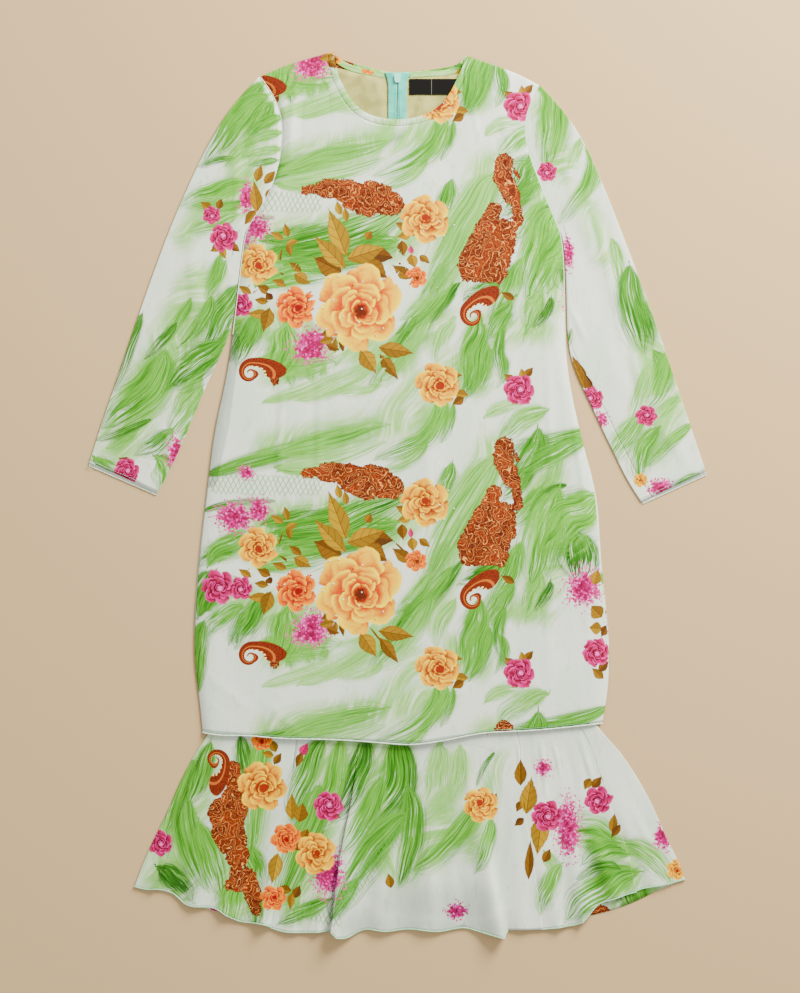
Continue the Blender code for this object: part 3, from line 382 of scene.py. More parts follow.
class Graph:
    """Adds nodes to one tree, so that a shader reads as a list of steps."""

    def __init__(self, tree):
        self.tree = tree

    def node(self, kind, *inputs, **settings):
        node = self.tree.nodes.new("ShaderNode" + kind)
        for name, value in settings.items():
            setattr(node, name, value)
        for socket, value in zip(node.inputs, inputs):
            self.put(socket, value)
        return node

    def put(self, socket, value):
        if isinstance(value, bpy.types.NodeSocket):
            self.tree.links.new(value, socket)
        elif value is not None:
            socket.default_value = value

    def math(self, operation, *values, clamp=False):
        return self.node("Math", *values, operation=operation, use_clamp=clamp).outputs[0]

    def vector(self, operation, *values):
        return self.node("VectorMath", *values, operation=operation).outputs[0]

    def parts(self, vector):
        return self.node("SeparateXYZ", vector).outputs[:3]

    def join(self, x, y, z=0.0):
        return self.node("CombineXYZ", x, y, z).outputs[0]

    def length(self, x, y):
        return self.math("SQRT", self.math("MULTIPLY_ADD", x, x, self.math("MULTIPLY", y, y)))

    def attribute(self, name):
        return self.node("Attribute", attribute_name=name)

    def noise(self, vector, scale, detail=2.0, roughness=0.5):
        node = self.node("TexNoise")
        self.put(node.inputs["Vector"], vector)
        node.inputs["Scale"].default_value = scale
        node.inputs["Detail"].default_value = detail
        node.inputs["Roughness"].default_value = roughness
        return node.outputs[0]

    def cells(self, vector, scale, feature="F1"):
        node = self.node("TexVoronoi", feature=feature)
        self.put(node.inputs["Vector"], vector)
        node.inputs["Scale"].default_value = scale
        return node

    def smooth(self, value, low, high, to_low=0.0, to_high=1.0):
        node = self.node("MapRange", interpolation_type="SMOOTHSTEP")
        for socket, item in zip(node.inputs, (value, low, high, to_low, to_high)):
            self.put(socket, item)
        return node.outputs[0]

    def mix(self, factor, a, b, blend="MIX"):
        node = self.node("Mix", data_type="RGBA", blend_type=blend, clamp_factor=True)
        self.put(node.inputs[0], factor)
        self.put(node.inputs[6], a)
        self.put(node.inputs[7], b)
        return node.outputs[2]

    def ramp(self, value, stops, steps=False):
        node = self.node("ValToRGB", value)
        node.color_ramp.interpolation = "CONSTANT" if steps else "LINEAR"
        elements = node.color_ramp.elements
        while len(elements) < len(stops):
            elements.new(0.5)
        for element, (position, shade) in zip(elements, stops):
            element.position = position
            element.color = shade
        return node.outputs[0]

    def group(self, tree, *inputs):
        node = self.node("Group", node_tree=tree)
        for socket, value in zip(node.inputs, inputs):
            self.put(socket, value)
        return node.outputs


def new_group(name, inputs, outputs):
    """An empty node group with these sockets, its graph, and its input and output nodes."""
    tree = bpy.data.node_groups.new(name, "ShaderNodeTree")
    for socket, kind in inputs:
        tree.interface.new_socket(socket, in_out="INPUT", socket_type="NodeSocket" + kind)
    for socket, kind in outputs:
        tree.interface.new_socket(socket, in_out="OUTPUT", socket_type="NodeSocket" + kind)
    start = tree.nodes.new("NodeGroupInput")
    end = tree.nodes.new("NodeGroupOutput")
    return tree, Graph(tree), start.outputs, end.inputs


WHIRL_GROWTH = 1.15
PLACE = [("Place", "Vector")]
SHADE_AND_MASK = [("Shade", "Color"), ("Mask", "Float")]
KINDS = 5
Petals = namedtuple("Petals", "radius lobes phase x y")
PETALS = [
    Petals(1.00, 6, 0.3, 0.00, 0.00),
    Petals(0.86, 6, 1.5, 0.04, -0.03),
    Petals(0.70, 5, 2.6, -0.03, -0.06),
    Petals(0.54, 5, 0.7, 0.04, -0.10),
    Petals(0.39, 4, 1.9, 0.00, -0.08),
    Petals(0.24, 3, 0.2, 0.03, -0.11),
]
RIMS = [(240, 220, 112), (230, 176, 60), (238, 212, 80), (214, 112, 170), (232, 170, 84)]
BODIES = [(222, 174, 40), (210, 116, 22), (214, 158, 20), (166, 28, 92), (212, 114, 40)]
SHADES = [(188, 92, 16), (150, 48, 8), (142, 66, 10), (104, 6, 48), (130, 72, 24)]
HEARTS = [(104, 54, 30), (140, 50, 20), (150, 70, 20), (226, 140, 188), (112, 62, 34)]


def by_kind(graph, kind, shades):
    stops = [(number / KINDS, colour(*shade)) for number, shade in enumerate(shades)]
    return graph.ramp(graph.math("DIVIDE", graph.math("ADD", kind, 0.5), KINDS), stops, True)


def bloom_group():
    """A painted flower: rings of overlapping petals set off centre, pale at the rim and deep at the foot."""
    tree, graph, given, out = new_group("Painted bloom", PLACE, SHADE_AND_MASK)
    x, y, z = graph.parts(given[0])
    kind = graph.math("FLOOR", z)
    wobble = graph.noise(graph.join(x, y, graph.math("MULTIPLY", z, 7.0)), 2.4, 3.0)
    sway = graph.math("MULTIPLY_ADD", wobble, 0.44, -0.22)
    streak = graph.noise(graph.join(x, y, z), 7.0, 3.0, 0.6)
    rim, body, shade, heart = (by_kind(graph, kind, row) for row in (RIMS, BODIES, SHADES, HEARTS))
    painted = shade
    mask = None
    for ring in PETALS:
        out_x = graph.math("SUBTRACT", x, ring.x)
        out_y = graph.math("SUBTRACT", y, ring.y)
        r = graph.math("ADD", graph.length(out_x, out_y), sway)
        angle = graph.math("ADD", graph.math("ARCTAN2", out_y, out_x), sway)
        turned = graph.math(
            "MULTIPLY_ADD", angle, ring.lobes / (2 * math.pi), graph.math("MULTIPLY_ADD", z, 1.7, ring.phase)
        )
        across = graph.math("FRACT", turned)
        lobe = graph.math("POWER", graph.math("SINE", graph.math("MULTIPLY", across, math.pi)), 0.5)
        t = graph.math(
            "DIVIDE", r, graph.math("MULTIPLY", graph.math("MULTIPLY_ADD", lobe, 0.24, 0.78), ring.radius)
        )
        inside = graph.smooth(t, 0.97, 1.02, 1.0, 0.0)
        petal = graph.mix(graph.smooth(t, 0.62, 0.9), shade, body)
        petal = graph.mix(graph.smooth(streak, 0.45, 0.7, 0.0, 0.4), petal, shade)
        petal = graph.mix(
            graph.math("MULTIPLY", graph.smooth(t, 0.8, 0.95), graph.smooth(across, 0.05, 0.7, 1.0, 0.3)),
            petal,
            rim,
        )
        petal = graph.mix(graph.smooth(across, 0.78, 0.97, 0.0, 0.85), petal, shade)
        painted = petal if mask is None else graph.mix(inside, painted, petal)
        mask = inside if mask is None else mask
    speck = graph.math(
        "MULTIPLY_ADD",
        graph.noise(graph.join(x, y, z), 16.0, 2.0),
        0.3,
        graph.length(x, graph.math("ADD", y, 0.1)),
    )
    core = graph.smooth(speck, 0.24, 0.36, 1.0, 0.0)
    graph.put(out[0], graph.mix(core, painted, heart))
    graph.put(out[1], mask)
    return tree


def leaf_group():
    """A painted leaf: pointed, a pale midrib, slanted veins, and one half in shade."""
    tree, graph, given, out = new_group("Painted leaf", PLACE, SHADE_AND_MASK)
    along, across, z = graph.parts(given[0])
    tone = graph.math("FRACT", z)
    side = graph.math("ABSOLUTE", across)
    run = graph.math("MULTIPLY", graph.math("POWER", graph.math("MAXIMUM", along, 0.0), 1.3), math.pi)
    width = graph.math("MAXIMUM", graph.math("SINE", run), 0.0)
    ragged = graph.noise(graph.join(graph.math("MULTIPLY", along, 3.0), across, z), 3.5, 3.0)
    reach = graph.math("SUBTRACT", graph.math("ADD", side, graph.math("MULTIPLY", ragged, 0.3)), 0.13)
    inside = graph.smooth(graph.math("SUBTRACT", reach, width), -0.06, 0.06, 1.0, 0.0)
    inside = graph.math(
        "MULTIPLY",
        inside,
        graph.math("LESS_THAN", graph.math("ABSOLUTE", graph.math("SUBTRACT", along, 0.5)), 0.52),
    )
    veins = graph.math("SINE", graph.math("MULTIPLY_ADD", along, 30.0, graph.math("MULTIPLY", side, 7.0)))
    light = graph.ramp(tone, [(0.0, colour(196, 176, 88)), (0.35, colour(172, 144, 58)),
                              (0.6, colour(138, 106, 42)),
                              (0.88, colour(104, 62, 40)), (0.93, colour(214, 90, 140))])
    dark = graph.ramp(tone, [(0.0, colour(150, 130, 56)), (0.35, colour(128, 100, 36)),
                             (0.6, colour(92, 62, 28)),
                             (0.88, colour(64, 38, 28)), (0.93, colour(150, 40, 90))])
    shade = graph.smooth(across, -0.1, 0.15, 0.1, 0.65)
    painted = graph.mix(shade, light, dark)
    veined = graph.math(
        "MAXIMUM", graph.smooth(veins, 0.8, 0.97, 0.0, 0.45), graph.smooth(side, 0.02, 0.07, 0.8, 0.0)
    )
    painted = graph.mix(veined, painted, graph.mix(tone, colour(112, 74, 28), colour(70, 40, 20)))
    painted = graph.mix(graph.smooth(graph.math("SUBTRACT", width, reach), 0.0, 0.2, 0.5, 0.0), painted, dark)
    graph.put(out[0], painted)
    graph.put(out[1], inside)
    return tree


def cluster_group():
    """A hydrangea head: a mass of tiny petals, magenta at the middle, breaking into loose ones at the rim."""
    tree, graph, given, out = new_group("Painted cluster", PLACE + [("Spot", "Vector")], SHADE_AND_MASK)
    x, y, z = graph.parts(given[0])
    florets = graph.cells(given[1], 330.0)
    near = florets.outputs["Distance"]
    own = graph.parts(florets.outputs["Color"])[0]
    r = graph.length(x, y)
    reach = graph.math("ADD", r, graph.math("MULTIPLY", graph.math("SUBTRACT", own, 0.5), 0.75))
    deep = graph.math("ADD", graph.math("MULTIPLY", own, 0.55), graph.math("MULTIPLY", r, 0.45))
    body = graph.ramp(
        deep,
        [
            (0.1, colour(130, 20, 74)),
            (0.38, colour(176, 48, 118)),
            (0.6, colour(208, 104, 164)),
            (0.85, colour(232, 176, 212)),
        ],
    )
    painted = graph.mix(graph.smooth(near, 0.4, 0.6, 0.0, 0.55), body, colour(138, 30, 88))
    graph.put(out[0], painted)
    graph.put(
        out[1],
        graph.math(
            "MULTIPLY",
            graph.smooth(reach, 0.94, 1.0, 1.0, 0.0),
            graph.smooth(graph.math("MULTIPLY", near, r), 0.42, 0.52, 1.0, 0.2),
        ),
    )
    return tree


def whirl_group():
    """A paisley: a brown horn that winds in from its round head, with cream beads inside the curl."""
    tree, graph, given, out = new_group("Painted whirl", PLACE, SHADE_AND_MASK)
    x, y, z = graph.parts(given[0])
    x = graph.math(
        "DIVIDE",
        graph.math(
            "SUBTRACT",
            x,
            graph.math("MULTIPLY", graph.math("MAXIMUM", graph.math("SUBTRACT", x, 0.15), 0.0), 0.5),
        ),
        0.575,
    )
    y = graph.math("DIVIDE", y, 0.575)
    r = graph.length(x, y)
    turn = graph.math("DIVIDE", graph.math("ARCTAN2", y, x), 2 * math.pi)
    wound = graph.math(
        "DIVIDE", graph.math("LOGARITHM", graph.math("MAXIMUM", r, 0.02), math.e), WHIRL_GROWTH
    )
    run = graph.math("ADD", wound, turn)
    ring = graph.math("ROUND", run)
    across = graph.math("SUBTRACT", run, ring)
    wound_by = graph.math("SUBTRACT", turn, ring)
    head = graph.length(
        graph.math("DIVIDE", graph.math("SUBTRACT", x, 1.06), 0.43), graph.math("DIVIDE", y, 0.55)
    )
    width = graph.math("SUBTRACT", 0.36, graph.math("MULTIPLY", wound_by, 0.09))
    horn = graph.smooth(graph.math("SUBTRACT", graph.math("ABSOLUTE", across), width), -0.02, 0.02, 1.0, 0.0)
    started = graph.smooth(wound_by, -0.01, 0.01)
    ended = graph.smooth(wound_by, 1.4, 1.5, 1.0, 0.0)
    mask = graph.math(
        "MAXIMUM",
        graph.math("MULTIPLY", graph.math("MULTIPLY", horn, started), ended),
        graph.smooth(head, 0.95, 1.03, 1.0, 0.0),
    )
    beads = graph.math("SINE", graph.math("MULTIPLY", wound_by, 2 * math.pi * 17))
    inner = graph.math(
        "MULTIPLY",
        graph.smooth(graph.math("ADD", across, width), 0.05, 0.1, 1.0, 0.0),
        graph.smooth(beads, -0.3, 0.3),
    )
    speck = graph.noise(graph.join(x, y, z), 14.0, 2.0)
    painted = graph.mix(graph.smooth(speck, 0.45, 0.62), colour(136, 70, 48), colour(96, 44, 34))
    painted = graph.mix(
        graph.smooth(graph.math("ABSOLUTE", across), 0.03, 0.06, 0.6, 0.0), painted, colour(206, 142, 96)
    )
    painted = graph.mix(inner, painted, colour(240, 222, 170))
    graph.put(out[0], painted)
    graph.put(out[1], mask)
    return tree


def stroke_group():
    """A dry brush mark: solid where it starts, splitting into fibres at its sides and towards its end."""
    tree, graph, given, out = new_group("Brush mark", PLACE, SHADE_AND_MASK)
    along, across, z = graph.parts(given[0])
    tone = graph.math("FRACT", z)
    end = graph.smooth(along, 0.25, 1.0)
    sway = graph.noise(graph.join(graph.math("MULTIPLY", along, 1.6), 0.0, z), 1.0, 1.0)
    lane = graph.math("ADD", across, sway)
    fibre = graph.noise(
        graph.join(along, graph.math("MULTIPLY", lane, 3.4), graph.math("MULTIPLY", z, 3.0)), 1.5, 4.0, 0.6
    )
    fine = graph.noise(
        graph.join(graph.math("MULTIPLY", along, 1.4), graph.math("MULTIPLY", lane, 13.0), z), 1.6, 2.0
    )
    fray = graph.math(
        "MULTIPLY", graph.math("SUBTRACT", fibre, 0.5), graph.math("MULTIPLY_ADD", end, 2.6, 1.0)
    )
    edge = graph.math(
        "ADD",
        graph.math("ABSOLUTE", across),
        graph.math("MULTIPLY_ADD", graph.math("SUBTRACT", fine, 0.5), 0.6, fray),
    )
    inside = graph.smooth(edge, 0.78, 1.0, 1.0, 0.0)
    halo = graph.math("MULTIPLY", graph.smooth(edge, 0.9, 1.5, 0.7, 0.0), graph.smooth(fine, 0.42, 0.58))
    filled = graph.math(
        "SUBTRACT",
        graph.math("MULTIPLY_ADD", fine, 0.45, graph.math("MULTIPLY", fibre, 0.55)),
        graph.math("MULTIPLY", end, 0.1),
    )
    solid = graph.smooth(filled, 0.37, 0.45, 0.2, 1.0)
    light = graph.ramp(
        tone,
        [
            (0.0, colour(188, 214, 166)),
            (0.4, colour(136, 184, 102)),
            (0.7, colour(106, 160, 74)),
            (1.0, colour(70, 120, 50)),
        ],
    )
    dark = graph.ramp(
        tone,
        [
            (0.0, colour(150, 192, 122)),
            (0.4, colour(96, 152, 66)),
            (0.7, colour(58, 112, 40)),
            (1.0, colour(28, 70, 26)),
        ],
    )
    painted = graph.mix(
        graph.smooth(graph.math("MULTIPLY_ADD", fine, 0.5, graph.math("MULTIPLY", fibre, 0.5)), 0.44, 0.58),
        light,
        dark,
    )
    accent = graph.math("MULTIPLY", graph.smooth(fibre, 0.56, 0.64), graph.smooth(fine, 0.4, 0.55))
    graph.put(out[0], graph.mix(graph.math("MULTIPLY", accent, tone), painted, colour(46, 98, 34)))
    within = graph.smooth(graph.math("ABSOLUTE", across), 1.35, 1.8, 1.0, 0.0)
    graph.put(
        out[1],
        graph.math("MULTIPLY", graph.math("MAXIMUM", graph.math("MULTIPLY", inside, solid), halo), within),
    )
    return tree


def wash_group():
    """The pale green ground between brush marks: long dry streaks that bend with the cloth's print."""
    tree, graph, given, out = new_group(
        "Green wash", [("Outside", "Float"), ("Spot", "Vector")], SHADE_AND_MASK
    )
    x, y, _ = graph.parts(given[1])
    bend = graph.math("MULTIPLY", graph.noise(given[1], 7.0, 1.0), 0.16)
    across = graph.math(
        "ADD", graph.math("SUBTRACT", graph.math("MULTIPLY", x, 0.8), graph.math("MULTIPLY", y, 0.6)), bend
    )
    along = graph.math("ADD", graph.math("MULTIPLY", x, 0.6), graph.math("MULTIPLY", y, 0.8))
    streak = graph.noise(graph.join(across, graph.math("MULTIPLY", along, 0.1), 0.0), 62.0, 5.0, 0.68)
    edge = graph.math("MULTIPLY_ADD", graph.math("SUBTRACT", streak, 0.5), 90.0, given[0])
    painted = graph.mix(graph.smooth(streak, 0.4, 0.56), colour(184, 208, 160), colour(138, 186, 104))
    painted = graph.mix(graph.smooth(streak, 0.6, 0.68, 0.0, 0.8), painted, colour(84, 142, 56))
    graph.put(out[0], painted)
    graph.put(
        out[1],
        graph.math(
            "MULTIPLY", graph.smooth(edge, -14.0, 12.0, 1.0, 0.0), graph.smooth(streak, 0.36, 0.5, 0.3, 0.9)
        ),
    )
    return tree


def batik_group():
    """A batik patch: ragged brown, drawn over with fine pale scrolls and darker at its edge."""
    tree, graph, given, out = new_group(
        "Batik patch", [("Outside", "Float"), ("Spot", "Vector")], SHADE_AND_MASK
    )
    drift = graph.node("TexNoise", given[1], None, 110.0).outputs[1]
    spot = graph.vector("ADD", given[1], graph.vector("MULTIPLY", drift, (0.009, 0.009, 0.0)))
    ragged = graph.math(
        "MULTIPLY_ADD", graph.math("SUBTRACT", graph.noise(given[1], 170.0, 4.0, 0.65), 0.5), 12.0, given[0]
    )
    field = graph.noise(spot, 52.0, 1.0)
    scroll = graph.math("ABSOLUTE", graph.math("SINE", graph.math("MULTIPLY", field, 34.0)))
    filling = graph.math(
        "ABSOLUTE", graph.math("SINE", graph.math("MULTIPLY", graph.noise(spot, 230.0, 1.0), 16.0))
    )
    body = graph.mix(graph.smooth(field, 0.42, 0.58), colour(132, 70, 44), colour(100, 48, 34))
    painted = graph.mix(graph.smooth(filling, 0.25, 0.6, 0.6, 0.0), body, colour(176, 110, 62))
    painted = graph.mix(graph.smooth(filling, 0.8, 0.96, 0.0, 0.5), painted, colour(88, 34, 22))
    painted = graph.mix(graph.smooth(scroll, 0.1, 0.24, 0.85, 0.0), painted, colour(216, 172, 124))
    painted = graph.mix(graph.smooth(ragged, -2.0, -0.8, 0.0, 0.6), painted, colour(96, 42, 28))
    graph.put(out[0], painted)
    graph.put(out[1], graph.smooth(ragged, -0.4, 0.3, 1.0, 0.0))
    return tree


def net_group():
    """Thin crossed green lines, as of a coarse net."""
    tree, graph, given, out = new_group(
        "Painted net", [("Outside", "Float"), ("Spot", "Vector")], SHADE_AND_MASK
    )
    x, y, _ = graph.parts(given[1])
    bend = graph.math("MULTIPLY", graph.noise(given[1], 22.0, 1.0), 9.0)
    lines = None
    for slant, pitch in ((0.45, 900.0), (-0.6, 820.0)):
        run = graph.math("MULTIPLY_ADD", graph.math("MULTIPLY_ADD", y, slant, x), pitch, bend)
        line = graph.smooth(graph.math("SINE", run), 0.6, 0.95)
        lines = line if lines is None else graph.math("MAXIMUM", lines, line)
    edge = graph.smooth(
        graph.math("MULTIPLY_ADD", graph.noise(given[1], 80.0), 10.0, given[0]), 1.0, 6.0, 1.0, 0.0
    )
    graph.put(out[0], colour(112, 162, 92))
    graph.put(out[1], graph.math("MULTIPLY", graph.math("MULTIPLY", lines, edge), 0.7))
    return tree


BLOOM = bloom_group()
LEAF = leaf_group()
CLUSTER = cluster_group()
WHIRL = whirl_group()
BRUSH = stroke_group()
WASH = wash_group()
BATIK = batik_group()
NET = net_group()


def weave_normal(graph, spot, strength):
    """The fine crinkle and weave of thin cloth, as a normal."""
    crinkle = graph.noise(graph.vector("MULTIPLY", spot, (1.0, 0.55, 1.0)), 240.0, 3.0, 0.6)
    thread = graph.noise(spot, 1400.0, 2.0)
    bump = graph.node("Bump")
    bump.inputs["Strength"].default_value = strength
    bump.inputs["Distance"].default_value = 0.0006
    graph.put(bump.inputs["Height"], graph.math("MULTIPLY_ADD", thread, 0.35, crinkle))
    return bump.outputs[0]


def new_material(name, roughness):
    material = bpy.data.materials.new(name)
    material.use_nodes = True
    graph = Graph(material.node_tree)
    shader = material.node_tree.nodes["Principled BSDF"]
    shader.inputs["Roughness"].default_value = roughness
    return material, graph, shader.inputs


def printed_chiffon():
    material, graph, shader = new_material("printed_chiffon", 0.72)
    spot = graph.node("TexCoord").outputs["Object"]
    broad = graph.noise(graph.vector("MULTIPLY", spot, (1.0, 0.35, 1.0)), 26.0, 3.0)
    fine = graph.noise(graph.vector("MULTIPLY", spot, (1.0, 0.3, 1.0)), 120.0, 3.0, 0.6)
    shade = graph.mix(graph.smooth(broad, 0.35, 0.65), colour(212, 220, 210), colour(222, 226, 218))
    shade = graph.mix(graph.smooth(fine, 0.55, 0.72, 0.0, 0.5), shade, colour(190, 208, 184))
    wash_shade, mask = graph.group(WASH, graph.attribute("wash").outputs["Fac"], spot)
    shade = graph.mix(mask, shade, wash_shade)
    for name in STROKE_LAYERS:
        mark_shade, mask = graph.group(BRUSH, graph.attribute(name).outputs["Vector"])
        shade = graph.mix(mask, shade, mark_shade)
    net_shade, mask = graph.group(NET, graph.attribute("net").outputs["Fac"], spot)
    shade = graph.mix(mask, shade, net_shade)
    for tree, name in [(CLUSTER, "cluster")] + [(LEAF, name) for name in LEAF_LAYERS]:
        inputs = [graph.attribute(name).outputs["Vector"]] + ([spot] if tree is CLUSTER else [])
        next_shade, mask = graph.group(tree, *inputs)
        shade = graph.mix(mask, shade, next_shade)
    batik_shade, mask = graph.group(BATIK, graph.attribute("batik").outputs["Fac"], spot)
    shade = graph.mix(mask, shade, batik_shade)
    for tree, name in ((WHIRL, "whirl"), (BLOOM, "bloom")):
        next_shade, mask = graph.group(tree, graph.attribute(name).outputs["Vector"])
        shade = graph.mix(mask, shade, next_shade)
    sheer = graph.smooth(graph.attribute("sheer").outputs["Fac"], -0.6, 0.6, 1.0, 0.0)
    shade = graph.mix(graph.math("MULTIPLY", sheer, 0.7), shade, colour(232, 236, 236), "MULTIPLY")
    graph.put(shader["Base Color"], shade)
    graph.put(shader["Alpha"], graph.math("SUBTRACT", 1.0, graph.math("MULTIPLY", sheer, 0.22)))
    graph.put(shader["Normal"], weave_normal(graph, spot, 0.5))
    shader["Specular IOR Level"].default_value = 0.15
    return material


